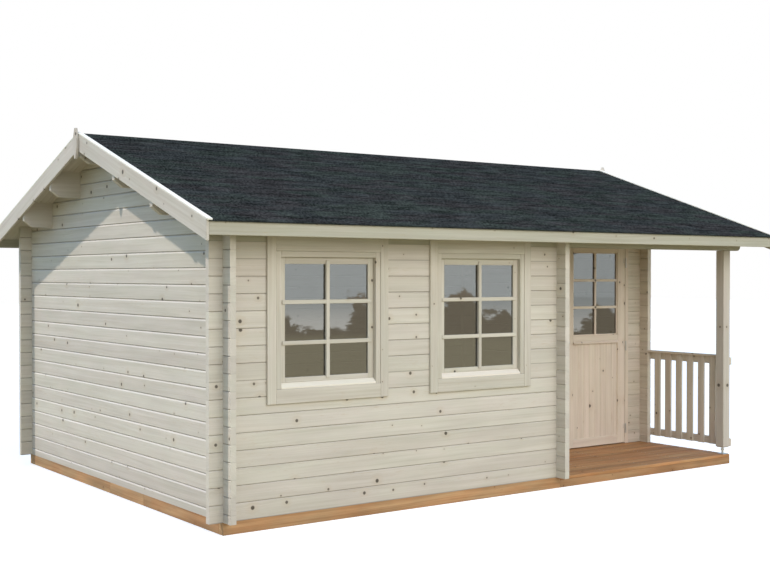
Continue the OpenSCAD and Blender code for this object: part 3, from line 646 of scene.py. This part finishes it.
class Joinery:
    """Boards of one piece; each takes its own place in the wood and its own tone."""

    def __init__(self, name, seed=1):
        self.name = name
        self.chance = random.Random(seed)
        self.points, self.faces, self.wood, self.tones, self.ends = [], [], [], [], []

    def board(self, outline, depth, grain, edge=EDGE, across=None):
        """Flat outline pushed along depth, with fibres along grain and its broad face across."""
        shell = bmesh.new()
        rim = [shell.verts.new(point) for point in outline]
        pushed = bmesh.ops.extrude_face_region(shell, geom=[shell.faces.new(rim)])
        depth = Vector(depth)
        for item in pushed["geom"]:
            if isinstance(item, bmesh.types.BMVert):
                item.co += depth
        if edge:
            bmesh.ops.bevel(shell, geom=shell.edges[:], offset=edge, segments=1, affect="EDGES", profile=0.5)
        bmesh.ops.recalc_face_normals(shell, faces=shell.faces[:])
        along = Vector(grain).normalized()
        across = across or depth.normalized().cross(along)
        through = along.cross(across)
        shift = Vector(self.chance.uniform(0, FIGURE_ROOM) for _ in range(3))
        tone = self.chance.random()
        origin = Vector(outline[0])
        first = len(self.points)
        shell.verts.index_update()
        for vert in shell.verts:
            place = vert.co - origin
            self.points.append(vert.co[:])
            self.wood.append((Vector((place @ along, place @ across, place @ through)) + shift)[:])
            self.tones.append(tone)
        for face in shell.faces:
            self.faces.append([first + vert.index for vert in face.verts])
            self.ends.append(float(abs(face.normal @ along) > END_FACING[0]))
        shell.free()

    def bar(self, low, high, axis, edge=EDGE, flat=None):
        """Straight board between two corners, with fibres along X, Y or Z and its thin side along flat."""
        size = [b - a for a, b in zip(low, high)]
        along = axis_number(axis)
        if flat is None:
            thin = min((i for i in range(3) if i != along), key=lambda i: size[i])
        else:
            thin = axis_number(flat)
        broad = 3 - along - thin
        corners = []
        for a, b in ((0, 0), (1, 0), (1, 1), (0, 1)):
            point = list(low)
            point[along] += a * size[along]
            point[broad] += b * size[broad]
            corners.append(point)
        depth = [0, 0, 0]
        depth[thin] = size[thin]
        self.board(corners, depth, axis, edge)

    def surround(self, outer, inner, through, height, rails, deep=False):
        """Uprights at both sides, from outer to inner, and rails between them; deep ones stand edge on."""
        (x0, x1), (in0, in1), (y0, y1), (z0, z1) = outer, inner, through, height
        for left, right in ((x0, in0), (in1, x1)):
            self.bar((left, y0, z0), (right, y1, z1), Z, flat=X if deep else Y)
        for low, high in rails:
            self.bar((in0, y0, low), (in1, y1, high), X, flat=Z if deep else Y)

    def thing(self, material):
        """The boards as one object, not yet fastened."""
        mesh = bpy.data.meshes.new(self.name)
        mesh.from_pydata(self.points, [], self.faces)
        flat = [number for place in self.wood for number in place]
        mesh.attributes.new("wood", "FLOAT_VECTOR", "POINT").data.foreach_set("vector", flat)
        mesh.attributes.new("board_tone", "FLOAT", "POINT").data.foreach_set("value", self.tones)
        mesh.attributes.new("board_end", "FLOAT", "FACE").data.foreach_set("value", self.ends)
        mesh.materials.append(material)
        return new_object(self.name, mesh)

    def piece(self, material, *stands_for, body="cabin", slot="board_wood"):
        settle(self.thing(material), body, stands_for)


def store(wire, geometry, name, kind, domain, value):
    """Geometry with a value written on it."""
    made = wire.node(
        "GeometryNodeStoreNamedAttribute", {"data_type": kind, "domain": domain},
        Geometry=geometry, Name=name, Value=value,
    )
    return made.outputs[0]


def row_tree():
    """Row of one board, each copy with its own place in the wood."""
    wire, given, gives = node_group(
        "board row",
        "GeometryNodeTree",
        [("Board", OBJECT), ("Step", VECTOR), ("Count", COUNT), ("Finish", MATERIAL), ("Seed", COUNT)],
        [GEOMETRY],
    )
    board = wire.node("GeometryNodeObjectInfo", Object=given["Board"]).outputs["Geometry"]
    line = wire.node("GeometryNodeMeshLine", {"mode": "OFFSET"}, Count=given["Count"], Offset=given["Step"])
    copies = wire.node("GeometryNodeInstanceOnPoints", Points=line.outputs[0], Instance=board).outputs[0]
    place = wire.node("FunctionNodeRandomValue", {"data_type": "FLOAT_VECTOR"}, Seed=given["Seed"])
    place.inputs["Max"].default_value = (FIGURE_ROOM,) * 3
    tone = wire.node("FunctionNodeRandomValue", {"data_type": "FLOAT"}, Seed=given["Seed"])
    copies = store(wire, copies, "shift", "FLOAT_VECTOR", "INSTANCE", place.outputs[0])
    copies = store(wire, copies, "copy_tone", "FLOAT", "INSTANCE", tone.outputs[1])
    real = wire.node("GeometryNodeRealizeInstances", Geometry=copies).outputs[0]
    shift, wood, copy_tone = (
        wire.node("GeometryNodeInputNamedAttribute", {"data_type": kind}, Name=name).outputs[0]
        for name, kind in (("shift", "FLOAT_VECTOR"), ("wood", "FLOAT_VECTOR"), ("copy_tone", "FLOAT"))
    )
    real = store(wire, real, "wood", "FLOAT_VECTOR", "POINT", wire.vector("ADD", wood, shift))
    real = store(wire, real, "board_tone", "FLOAT", "POINT", copy_tone)
    done = wire.node("GeometryNodeSetMaterial", Geometry=real, Material=given["Finish"])
    wire.feed(gives["Geometry"], done.outputs[0])
    return wire.tree


def cover_tree():
    """Courses of one shape up a slope, every other one shifted, cut off at both ends."""
    wire, given, gives = node_group(
        "tab courses",
        "GeometryNodeTree",
        [("Tab", OBJECT), ("Across", VECTOR), ("Up", VECTOR), ("Columns", COUNT), ("Rows", COUNT),
         ("Stagger", FLOAT), ("Low X", FLOAT), ("High X", FLOAT), ("Finish", MATERIAL), ("Seed", COUNT)],
        [GEOMETRY],
    )
    tab = wire.node("GeometryNodeObjectInfo", Object=given["Tab"]).outputs["Geometry"]
    index = wire.node("GeometryNodeInputIndex").outputs[0]
    row = wire.calc("FLOOR", wire.calc("DIVIDE", wire.plus(index, 0.5), given["Columns"]))
    column = wire.minus(index, wire.times(row, given["Columns"]))
    column = wire.minus(column, wire.times(wire.calc("MODULO", row, 2.0), given["Stagger"]))
    place = wire.vector("ADD", wire.longer(given["Across"], column), wire.longer(given["Up"], row))
    count = wire.times(given["Columns"], given["Rows"])
    points = wire.node("GeometryNodePoints", Count=count, Position=place).outputs[0]
    here = wire.split(wire.node("GeometryNodeInputPosition").outputs[0])[0]
    width = wire.minus(given["High X"], given["Low X"])
    outside = wire.calc("GREATER_THAN", here, wire.minus(width, TAB_LEAST))
    kept = wire.node("GeometryNodeDeleteGeometry", {"domain": "POINT"}, Geometry=points, Selection=outside)
    copies = wire.node("GeometryNodeInstanceOnPoints", Points=kept.outputs[0], Instance=tab).outputs[0]
    tone = wire.node("FunctionNodeRandomValue", {"data_type": "FLOAT"}, Seed=given["Seed"])
    copies = store(wire, copies, "tab_tone", "FLOAT", "INSTANCE", tone.outputs[1])
    real = wire.node("GeometryNodeRealizeInstances", Geometry=copies).outputs[0]
    x, y, z = wire.split(wire.node("GeometryNodeInputPosition").outputs[0])
    x = wire.calc("MINIMUM", wire.calc("MAXIMUM", x, given["Low X"]), given["High X"])
    cut = wire.node("GeometryNodeSetPosition", Geometry=real, Position=wire.join(x, y, z)).outputs[0]
    done = wire.node("GeometryNodeSetMaterial", Geometry=cut, Material=given["Finish"])
    wire.feed(gives["Geometry"], done.outputs[0])
    return wire.tree


def grow(name, tree, **values):
    """Runs a tree with its named inputs and keeps the result as a plain mesh."""
    made = new_object(name, bpy.data.meshes.new(name))
    modifier = made.modifiers.new(name, "NODES")
    modifier.node_group = tree
    for item in tree.interface.items_tree:
        if item.item_type == "SOCKET" and item.in_out == "INPUT":
            modifier[item.identifier] = values[item.name.lower().replace(" ", "_")]
    graph = bpy.context.evaluated_depsgraph_get()
    shaped = made.evaluated_get(graph)
    mesh = bpy.data.meshes.new_from_object(shaped, preserve_all_data_layers=True, depsgraph=graph)
    made.modifiers.remove(modifier)
    made.data = mesh
    mesh.name = name
    return made


rows = row_tree()
covers = cover_tree()


def board_row(name, board, step, count, material, stands_for, seed):
    """Row of one board made by Joinery, along step, on the cabin."""
    source = board.thing(material)
    made = grow(name, rows, board=source, step=step, count=count, finish=material, seed=seed)
    bpy.data.objects.remove(source)
    settle(made, "cabin", (stands_for,))


def cover_row(name, source, across, up, columns, count, stagger, low_x, material, seed):
    """Courses of one shape on the cabin, from low_x to the other end of the shingles."""
    made = grow(
        name, covers, tab=source, across=across, up=up, columns=columns, rows=count, stagger=stagger,
        low_x=low_x, high_x=COVER_X, finish=material, seed=seed,
    )
    bpy.data.objects.remove(source)
    settle(made, "cabin")


def paint(material, *named):
    """Gives solids that stay in view their finish."""
    for node in named:
        for slot in nodes[node].material_slots:
            slot.material = material


def dress_walls():
    """Logs: each wall keeps its solid and gets its own courses of wood."""
    along_x, along_y = ((X, Z, Y), BASE_H), ((Y, Z, X), BASE_H + LOG_H / 2)
    walls = {
        "front logs": (PALE, along_x, FRONT_JOINT, False,
                       ("front_wall_lower", "front_wall_piers", "front_wall_head")),
        "back logs": (PALE, along_x, OPEN_JOINT, False, ("back_wall",)),
        "door wall logs": (SHADE_LIFTED, along_x, SHADED_JOINT, False,
                           ("door_wall_left", "door_wall_right", "door_wall_head")),
        "left gable logs": (PALE, along_y, OPEN_JOINT, True, ("left_gable_wall",)),
        "right gable logs": (SHADE_LIFTED, along_y, SHADED_JOINT, True,
                             ("right_gable_lower", "right_gable_upper")),
        "cross wall logs": (PALE, along_y, SHADED_JOINT, False, ("cross_wall",)),
        "porch beam logs": (EAVES_SHADE, along_x, SHADED_JOINT, False, ("front_beam",)),
    }
    for seed, (name, (wood, (axes, base), joint, eased, named)) in enumerate(walls.items(), 3):
        paint(course_material(name, wood, axes, base, LOG_H, float(seed), joint, eased), *named)


def dress_solids():
    """Pieces whose solid already has its form; all purlins lie in one course, and each joist in its own."""
    purlin = course_material("purlin wood", EDGING, (X, Z, Y), base=-1.0, course=3.0, seed=21.0)
    joist = course_material("joist wood", TREATED, (Y, X, Z), base=-4.0, course=0.37, seed=5.0)
    floor = course_material("floor wood", FRESH, (X, Y, Z), FRONT, FLOOR_BOARD_W, 8.0, OPEN_JOINT)
    low = LEAF[0][0] + STILE_W
    width = (LEAF[1][0] - STILE_W - low) / PANEL_BOARDS
    panel = course_material("door panel wood", DOOR, (Z, X, Y), low, width, seed=2.0)
    paint(purlin, "ridge_purlin", "purlins")
    paint(joist, "floor_joists", "porch_joists")
    paint(floor, "floor_boards")
    paint(panel, "door_panel")
    paint(WINDOW_GLASS, "window_glass")
    paint(DOOR_GLASS, "door_glass")
    paint(STEEL, "door_handle", "post_foot")
    paint(HINGES, "door_hinges", "frame_hinges")
    paint(SHINGLES, "shingles_front", "shingles_back")


def base_beams():
    """Beams under the walls, in shorter lengths under the end walls, and under the porch's edge."""
    beams = Joinery("base_frame", 9)
    inner_front, inner_back = FRONT + BEAM_W, BACK - BEAM_W
    inner_door = DOOR_FACE + BEAM_W
    beams.bar((LEFT, FRONT, 0), (PORCH_X, inner_front, BASE_H), X, flat=Y)
    beams.bar((LEFT, inner_back, 0), (RIGHT, BACK, BASE_H), X, flat=Y)
    beams.bar((PORCH_X, DOOR_FACE, 0), (RIGHT, inner_door, BASE_H), X, flat=Y)
    for x, start in ((LEFT, inner_front), (RIGHT - BEAM_W, inner_door)):
        ends = [start, *(y for y in SEAMS if y > start + 2 * BASE_H), inner_back]
        for y0, y1 in zip(ends, ends[1:]):
            beams.bar((x, y0, 0), (x + BEAM_W, y1, BASE_H), Y, flat=X)
    beams.bar((PORCH_X - BEAM_W, inner_front, 0), (PORCH_X, inner_door, BASE_H), Y, flat=X)
    beams.piece(TREATED_BOARDS, "base_long_beams", "base_side_beams", slot="treated_wood")
    porch = Joinery("porch_beam", 84)
    porch.bar((PORCH_X, FRONT, 0), (RIGHT, inner_front, BASE_H - FLOOR_T), X, flat=Y)
    porch.piece(TREATED_BOARDS, "porch_front_beam", slot="treated_wood")


def deck_boards():
    """Boards of the porch, with gaps between them."""
    board = Joinery("deck board")
    high = (RIGHT, FRONT + DECK_PITCH - DECK_GAP, BASE_H)
    board.bar((PORCH_X, FRONT, BASE_H - FLOOR_T), high, X, SOFT_EDGE)
    step = (0, DECK_PITCH, 0)
    board_row("porch_deck_boards", board, step, DECK_N, DECK_BOARDS, "porch_deck", 12)


def deck_screws():
    """Screw heads where the deck boards cross the joists, two to a board."""
    step = (RIGHT - JOIST_W - PORCH_X) / PORCH_BAYS
    first = PORCH_X + step
    shell = bmesh.new()
    bmesh.ops.create_cone(
        shell, cap_ends=True, segments=8, radius1=SCREW_R, radius2=SCREW_R - SCREW_H / 2, depth=SCREW_H
    )
    low_y = FRONT + (DECK_PITCH - DECK_GAP) / 4
    bmesh.ops.translate(shell, verts=shell.verts, vec=(first, low_y, BASE_H))
    mesh = bpy.data.meshes.new("deck screw")
    shell.to_mesh(mesh)
    shell.free()
    source = new_object("deck screw", mesh)
    cover_row(
        "deck_screw_heads", source, (step, 0, 0), (0, DECK_PITCH / 2, 0), PORCH_BAYS, 2 * DECK_N, 0.0,
        first - SCREW_R, STEEL, 3,
    )


def slope_outline(x, far, low, high):
    """Outline at x of a band along a slope from the ridge to far."""
    return [(x, 0, under_roof(0) + low), (x, far, under_roof(far) + low),
            (x, far, under_roof(far) + high), (x, 0, under_roof(0) + high)]


def roof_boards(name, side, node, seed):
    """Boards from the ridge to the eaves, laid side by side."""
    x = VERGE - EDGE_T
    pitch = 2 * x / ROOF_BOARD_N
    outline = slope_outline(-x, side * (EAVE - EDGE_T), ROOF_GAP, BOARDS_TOP)
    board = Joinery(name + " board")
    fibres = Vector(outline[1]) - Vector(outline[0])
    board.board(outline, (pitch - ROOF_BOARD_GAP, 0, 0), fibres, FINE_EDGE, X)
    board_row(name, board, (pitch, 0, 0), ROOF_BOARD_N, EDGING_BOARDS, node, seed)


def shingle_cover(name, side, seed):
    """Tabs in courses on one slope, each course thickest at its foot."""
    slope = Vector((0, -side * math.cos(PITCH), math.sin(PITCH)))
    rise = Vector((0, side * math.sin(PITCH), math.cos(PITCH)))
    far = side * (EAVE + SHINGLE_OVER - TAB_T)
    foot = Vector((-COVER_X, far, under_roof(far) + COVER_TOP))
    course = slope * (abs(far) / math.cos(PITCH) / COURSE_N)
    sunk, thin = rise * -TAB_SUNK, rise * TAB_HEAD_T
    outline = [foot + sunk, foot + rise * TAB_T, foot + course + thin, foot + course + sunk]
    tab = Joinery(name + " tab")
    tab.board(outline, (TAB_W - TAB_GAP, 0, 0), slope, 0)
    columns = math.ceil(2 * COVER_X / TAB_W) + 1
    cover_row(
        name, tab.thing(SHINGLES), (TAB_W, 0, 0), course, columns, COURSE_N, 0.5, -COVER_X, SHINGLES,
        seed,
    )


def ridge_cover():
    """Folded caps along the ridge."""
    pitch = 2 * COVER_X / RIDGE_N
    top = under_roof(0) + COVER_TOP
    low = top - RIDGE_WING * math.tan(PITCH)
    fold = top + RIDGE_FOLD_T
    x = -COVER_X
    outline = [(x, 0, top), (x, -RIDGE_WING, low), (x, -RIDGE_WING, low + RIDGE_T), (x, 0, fold),
               (x, RIDGE_WING, low + RIDGE_T), (x, RIDGE_WING, low)]
    cap = Joinery("ridge cap")
    cap.board(outline, (pitch - TAB_GAP, 0, 0), Y, 0)
    cover_row(
        "ridge_shingles", cap.thing(SHINGLES), (pitch, 0, 0), (0, 0, 0), RIDGE_N, 1, 0.0, x, SHINGLES,
        31,
    )


def barge_boards(side, word):
    """Barge boards and their cap strips along one slope, at both ends of the roof."""
    barges = Joinery("barge_boards_" + word + "_pair", 40 + side)
    caps = Joinery("barge_caps_" + word + "_pair", 50 + side)
    low = COVER_TOP - BARGE_W / math.cos(PITCH)
    for x in (-VERGE, VERGE - EDGE_T):
        outline = slope_outline(x, side * EAVE, low, COVER_TOP)
        barges.board(outline, (EDGE_T, 0, 0), Vector(outline[1]) - Vector(outline[0]))
    for x in (-VERGE, VERGE - CAP_W):
        outline = slope_outline(x, side * (EAVE + SHINGLE_OVER), CAP_LOW, CAP_TOP)
        caps.board(outline, (CAP_W, 0, 0), Vector(outline[1]) - Vector(outline[0]), EDGE, X)
    barges.piece(EDGING_BOARDS, "barge_boards_" + word)
    caps.piece(SUNLIT_CAP_BOARDS, "barge_caps_" + word)


def eaves_boards():
    """Boards along both eaves, with their top cut to the slope."""
    eaves = Joinery("eaves_board_pair", 61)
    x = VERGE - EDGE_T
    for side in (-1, 1):
        outer, inner = side * EAVE, side * (EAVE - EDGE_T)
        low = under_roof(outer) + BOARDS_TOP - FASCIA_H
        outline = [(-x, outer, low), (-x, inner, low), (-x, inner, under_roof(inner) + BOARDS_TOP),
                   (-x, outer, under_roof(outer) + BOARDS_TOP)]
        eaves.board(outline, (2 * x, 0, 0), X, EDGE, Z)
    eaves.piece(EAVES_SHADE_BOARDS, "eaves_boards")


def finial_boards():
    """Pointed boards over the joint of the barge boards, at both ends of the roof."""
    finials = Joinery("finial_boards", 66)
    top = under_roof(0) + CAP_TOP + FINIAL_RISE
    low, half, tip, shoulder = top - FINIAL_H, FINIAL_W / 2, FINIAL_TIP / 2, FINIAL_H / 3
    right_half = [(tip, low), (half, low + shoulder), (half, top - shoulder), (tip, top)]
    left_half = [(-y, z) for y, z in reversed(right_half)]
    for x in (-VERGE - EDGE_T, VERGE):
        finials.board([(x, y, z) for y, z in right_half + left_half], (EDGE_T, 0, 0), Z)
    finials.piece(EDGING_BOARDS, "finials")


def window_joinery():
    """Casings, frames, sills, sashes and bars of both windows."""
    casings = Joinery("window_casing_boards", 71)
    frames = Joinery("window_frame_boards", 72)
    sills = Joinery("window_sill_boards", 74)
    sashes = Joinery("window_sash_boards", 73)
    outside, inside = FRONT - CASING_T, FRONT + LOG_T
    face = outside + FRAME_BACK
    sash_face = face + SASH_BACK
    sash_back = sash_face + SASH_T
    pane = sash_face + (SASH_T - PANE_T) / 2
    bar_face = sash_face - BAR_T
    sash_low, sash_high = WINDOW_LOW + SILL_H + SILL_RISE, WINDOW_HIGH - FRAME_W
    light_low, light_high = sash_low + SASH_LOW, sash_high - SASH_W
    bar_low, bar_high = sash_low + BAR_SHORT, sash_high - BAR_SHORT
    hole_low, hole_high = WINDOW_LOW - WINDOW_GAP, WINDOW_HIGH + WINDOW_GAP
    low, high = hole_low - CASING_END, hole_high + CASING_END
    hole_half, frame_half, half = WINDOW_W / 2 + WINDOW_GAP, WINDOW_W / 2, BAR_W / 2
    sash_half = frame_half - FRAME_W
    halves = hole_half + CASING_W, hole_half, frame_half, sash_half, sash_half - SASH_W, sash_half - BAR_SHORT
    for x in WINDOW_XS:
        casing, hole, frame, sash, light, bar = (span(x, reach) for reach in halves)
        rails = (low, hole_low), (hole_high, high)
        casings.surround(casing, hole, (outside, FRONT), (low, high), rails)
        rails = ((sash_high, WINDOW_HIGH),)
        frames.surround(frame, sash, (face, inside), (WINDOW_LOW, WINDOW_HIGH), rails, deep=True)
        profile = ((face, WINDOW_LOW), (inside, WINDOW_LOW), (inside, sash_low), (sash_face, sash_low),
                   (face, WINDOW_LOW + SILL_H))
        sills.board([(sash[0], y, z) for y, z in profile], (2 * sash_half, 0, 0), X, FINE_EDGE, Z)

        rails = (light_high, sash_high), (sash_low, light_low)
        sashes.surround(sash, light, (sash_face, sash_back), (sash_low, sash_high), rails)
        for z in WINDOW_BARS:
            sashes.bar((bar[0], bar_face, z - half), (bar[1], sash_face, z + half), X)
            sashes.bar((light[0], sash_face, z - half), (light[1], pane, z + half), X, flat=Y)
        sashes.bar((x - half, bar_face - LAP, bar_low), (x + half, sash_face, bar_high), Z)
        sashes.bar((x - half, sash_face, light_low), (x + half, pane, light_high), Z, flat=Y)
    casings.piece(FRESH_BOARDS, "window_casings")
    frames.piece(FRESH_BOARDS, "window_frames")
    sills.piece(SKYLIT_SILL_BOARDS)
    sashes.piece(FRESH_BOARDS, "window_sashes")


def door_leaf():
    """Stiles, rails, beads, drip ledge and bars of the leaf."""
    (x0, y0, z0), (x1, y1, z1) = LEAF
    leaf = Joinery("door_leaf_boards", 81)
    in0, in1 = x0 + STILE_W, x1 - STILE_W
    glazing_high = z1 - TOP_RAIL
    rails = (z0, z0 + BOTTOM_RAIL), (PANEL_HIGH, GLAZING_LOW), (glazing_high, z1)
    leaf.surround((x0, x1), (in0, in1), (y0, y1), (z0, z1), rails)

    b0, b1 = y0 + BEAD_BACK, y1 - BEAD_BACK
    pane_x0, pane_x1 = in0 + BEAD_W, in1 - BEAD_W
    pane_z0, pane_z1 = GLAZING_LOW + BEAD_W, glazing_high - BEAD_W
    rails = (GLAZING_LOW, pane_z0), (pane_z1, glazing_high)
    leaf.surround((in0, in1), (pane_x0, pane_x1), (b0, b1), (GLAZING_LOW, glazing_high), rails)

    ledge = [(in0, y0, PANEL_HIGH), (in0, y0, PANEL_HIGH + LEDGE_H),
             (in0, y0 - LEDGE_OUT, PANEL_HIGH + LEDGE_H / 2), (in0, y0 - LEDGE_OUT, PANEL_HIGH)]
    leaf.board(ledge, (in1 - in0, 0, 0), X, FINE_EDGE, Z)

    middle, half = (in0 + in1) / 2, DOOR_BAR_W / 2
    pane_y0, pane_y1 = (y0 + y1 - PANE_T) / 2, (y0 + y1 + PANE_T) / 2
    for near, far in ((b0 - DOOR_BAR_PROUD, pane_y0), (pane_y1, b1 + DOOR_BAR_PROUD)):
        for share in (1 / 3, 2 / 3):
            z = pane_z0 + (pane_z1 - pane_z0) * share
            leaf.bar((pane_x0, near, z - half), (pane_x1, far, z + half), X, flat=Y)
        leaf.bar((middle - half, near, pane_z0), (middle + half, far, pane_z1), Z, flat=Y)
    leaf.piece(DOOR_BOARDS, "door_leaf", body="door", slot="door_wood")


def door_frame():
    """Jambs and head of the doorway, with the stops and the threshold behind the leaf."""
    (x0, y0, _), (x1, y1, _) = LEAF
    jambs = Joinery("door_frame_boards", 84)
    left, right = x0 - LEAF_GAP, x1 + LEAF_GAP
    head = DOORWAY_TOP - JAMB_W
    back, stop = y0 + JAMB_T, y1 + LEAF_GAP
    outer, inner = (left - JAMB_W, right + JAMB_W), (left, right)
    jambs.surround(outer, inner, (y0, back), (BASE_H, DOORWAY_TOP), ((head, DOORWAY_TOP),), deep=True)
    rails = (head - STOP_W, head), (BASE_H, BASE_H + THRESHOLD_H)
    jambs.surround(inner, (left + STOP_W, right - STOP_W), (stop, back), (BASE_H, head), rails, deep=True)
    jambs.piece(DOOR_BOARDS, "door_frame")


def porch_joinery():
    """Post, and rails, cap and balusters of the railing."""
    low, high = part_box("porch_post")
    post = Joinery("porch_post_timber", 97)
    post.bar(low[:], high[:], Z, SOFT_EDGE, flat=Y)
    post.piece(EDGING_BOARDS, "porch_post")

    low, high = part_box("railing_rails")
    rails = Joinery("railing_rail_pair", 92)
    rails.bar(low[:], (high.x, high.y, low.z + RAIL_H), Y)
    rails.bar((low.x, low.y, high.z - RAIL_H), high[:], Y)
    rails.piece(SHADE_LIFTED_BOARDS, "railing_rails")

    low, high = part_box("railing_cap")
    cap = Joinery("railing_cap_board", 93)
    cap.bar(low[:], high[:], Y, SOFT_EDGE)
    cap.piece(SHADE_LIFTED_BOARDS, "railing_cap")

    low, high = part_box("railing_balusters")
    pitch = (high.y - low.y - BALUSTER_W) / (BALUSTER_N - 1)
    slat = Joinery("baluster")
    slat.bar(low[:], (high.x, low.y + BALUSTER_W, high.z), Z, FINE_EDGE)
    board_row(
        "railing_slats", slat, (0, pitch, 0), BALUSTER_N, SHADE_LIFTED_BOARDS,
        "railing_balusters", 17,
    )


def pale_floor():
    """Level floor that looks pale and throws back only a little warm light."""
    reach = 60.0
    corners = [(-reach, -reach, 0), (reach, -reach, 0), (reach, reach, 0), (-reach, reach, 0)]
    mesh = bpy.data.meshes.new("floor")
    mesh.from_pydata(corners, [], [(0, 1, 2, 3)])
    floor = new_object("floor", mesh)
    material, wire = blank_material("pale floor")
    seen = wire.node(
        "ShaderNodeBsdfPrincipled", Base_Color=(0.82, 0.82, 0.82, 1), Roughness=0.9,
        Emission_Color=(1, 1, 1, 1), Emission_Strength=0.6,
    )
    bounce = wire.node("ShaderNodeBsdfDiffuse", Color=(0.54, 0.43, 0.22, 1))
    mixed = wire.node("ShaderNodeMixShader", Fac=wire.node("ShaderNodeLightPath").outputs["Is Camera Ray"])
    wire.feed(mixed.inputs[1], bounce.outputs[0])
    wire.feed(mixed.inputs[2], seen.outputs[0])
    wire.node("ShaderNodeOutputMaterial", Surface=mixed.outputs[0])
    mesh.materials.append(material)
    floor.visible_glossy = False
    return floor


def soft_sky():
    """Sky that is brightest low in front, with a dark skyline for the panes to reflect."""
    world = bpy.data.worlds.new("soft sky")
    world.use_nodes = True
    world.node_tree.nodes.clear()
    bpy.context.scene.world = world
    wire = Wiring(world.node_tree)
    outward = wire.node("ShaderNodeTexCoord").outputs["Generated"]
    x, y, z = wire.split(outward)
    uneven = wire.stretched(outward, (60.0, 60.0, 120.0), 6.0, 0.75)
    ragged = wire.ramp(uneven, -0.008, 0.008, *NOISE_SPAN)
    bearing = wire.plus(wire.calc("ARCTAN2", x, wire.times(y, -1.0)), ragged)
    line = wire.ramp(uneven, -0.053, -0.039, *NOISE_SPAN)
    for toward, half, height in SKYLINE:
        off = wire.calc("ABSOLUTE", wire.minus(bearing, math.radians(toward)))
        hump = wire.smooth(off, *(math.radians(half * share) for share in HUMP_FADE))
        line = wire.plus(line, wire.times(hump, height))
    front = wire.smooth(y, 0.1, -0.8)
    haze = wire.tint(wire.smooth(z, -0.045, -0.018), (2.0, 1.97, 1.84, 1), (1.22, 1.28, 1.26, 1))
    before = wire.tint(wire.smooth(z, 0.0, 0.6), haze, (0.66, 0.79, 1.0, 1))
    beside = wire.tint(wire.smooth(z, 0.0, 0.6), (0.66, 0.93, 1.20, 1), (0.46, 0.68, 1.04, 1))
    sky = wire.tint(front, beside, before)
    lowest = wire.tint(wire.smooth(z, -0.4, -0.05), (0.72, 0.62, 0.39, 1), (0.87, 0.77, 0.53, 1))
    below = wire.tint(wire.smooth(z, -0.056, -0.048), lowest, (0.61, 0.51, 0.37, 1))
    around = wire.tint(wire.smooth(z, line, wire.plus(line, 0.003)), below, sky)
    direct = wire.node("ShaderNodeLightPath").outputs["Is Camera Ray"]
    back = wire.node("ShaderNodeBackground", Color=wire.tint(direct, around, (1, 1, 1, 1)), Strength=1.0)
    wire.node("ShaderNodeOutputWorld", Surface=back.outputs[0])


def aim(lamp, direction):
    """Turns a lamp so that it shines in a direction."""
    lamp.rotation_euler = Vector(direction).to_track_quat("-Z", "Y").to_euler()


def lights(floor):
    """Sun from behind on the left, which leaves the floor alone, and a broad soft light from the front."""
    sun = bpy.data.lights.new("sun", "SUN")
    sun.energy = 2.75
    sun.angle = math.radians(1.5)
    sun.color = (1.0, 0.9, 0.81)
    lamp = new_object("sun", sun)
    aim(lamp, (0.506, -0.363, -0.783))
    unlit = bpy.data.collections.new("floor only")
    unlit.objects.link(floor)
    lamp.light_linking.receiver_collection = unlit
    unlit.collection_objects[0].light_linking.link_state = "EXCLUDE"

    fill = bpy.data.lights.new("front light", "AREA")
    fill.shape = "RECTANGLE"
    fill.size, fill.size_y = 9.0, 6.0
    fill.energy = 500.0
    fill.color = (1.0, 0.96, 0.90)
    soft = new_object("front light", fill)
    soft.location = (0.0, -10.5, 5.4)
    soft.visible_glossy = False
    aim(soft, Vector((0, -1, 1)) - soft.location)


def camera():
    """Camera where the photograph was taken from."""
    eye = bpy.data.cameras.new("camera")
    eye.sensor_fit = "HORIZONTAL"
    eye.sensor_width = 36.0
    eye.lens = 55.43
    eye.clip_end = 500.0
    stand = new_object("camera", eye)
    stand.location = (-6.1603, -8.6742, 1.6895)
    stand.rotation_euler = (math.radians(90 - 0.665), 0, math.radians(-35.628))
    bpy.context.scene.camera = stand
    bpy.context.scene.view_settings.view_transform = "Standard"


camera()
soft_sky()
lights(pale_floor())
dress_walls()
dress_solids()
base_beams()
deck_boards()
deck_screws()
roof_boards("roof_boards_front_row", -1, "roof_boards_front", 23)
roof_boards("roof_boards_back_row", 1, "roof_boards_back", 24)
shingle_cover("shingle_tabs_front", -1, 27)
shingle_cover("shingle_tabs_back", 1, 28)
ridge_cover()
barge_boards(-1, "front")
barge_boards(1, "back")
eaves_boards()
finial_boards()
window_joinery()
door_leaf()
door_frame()
porch_joinery()
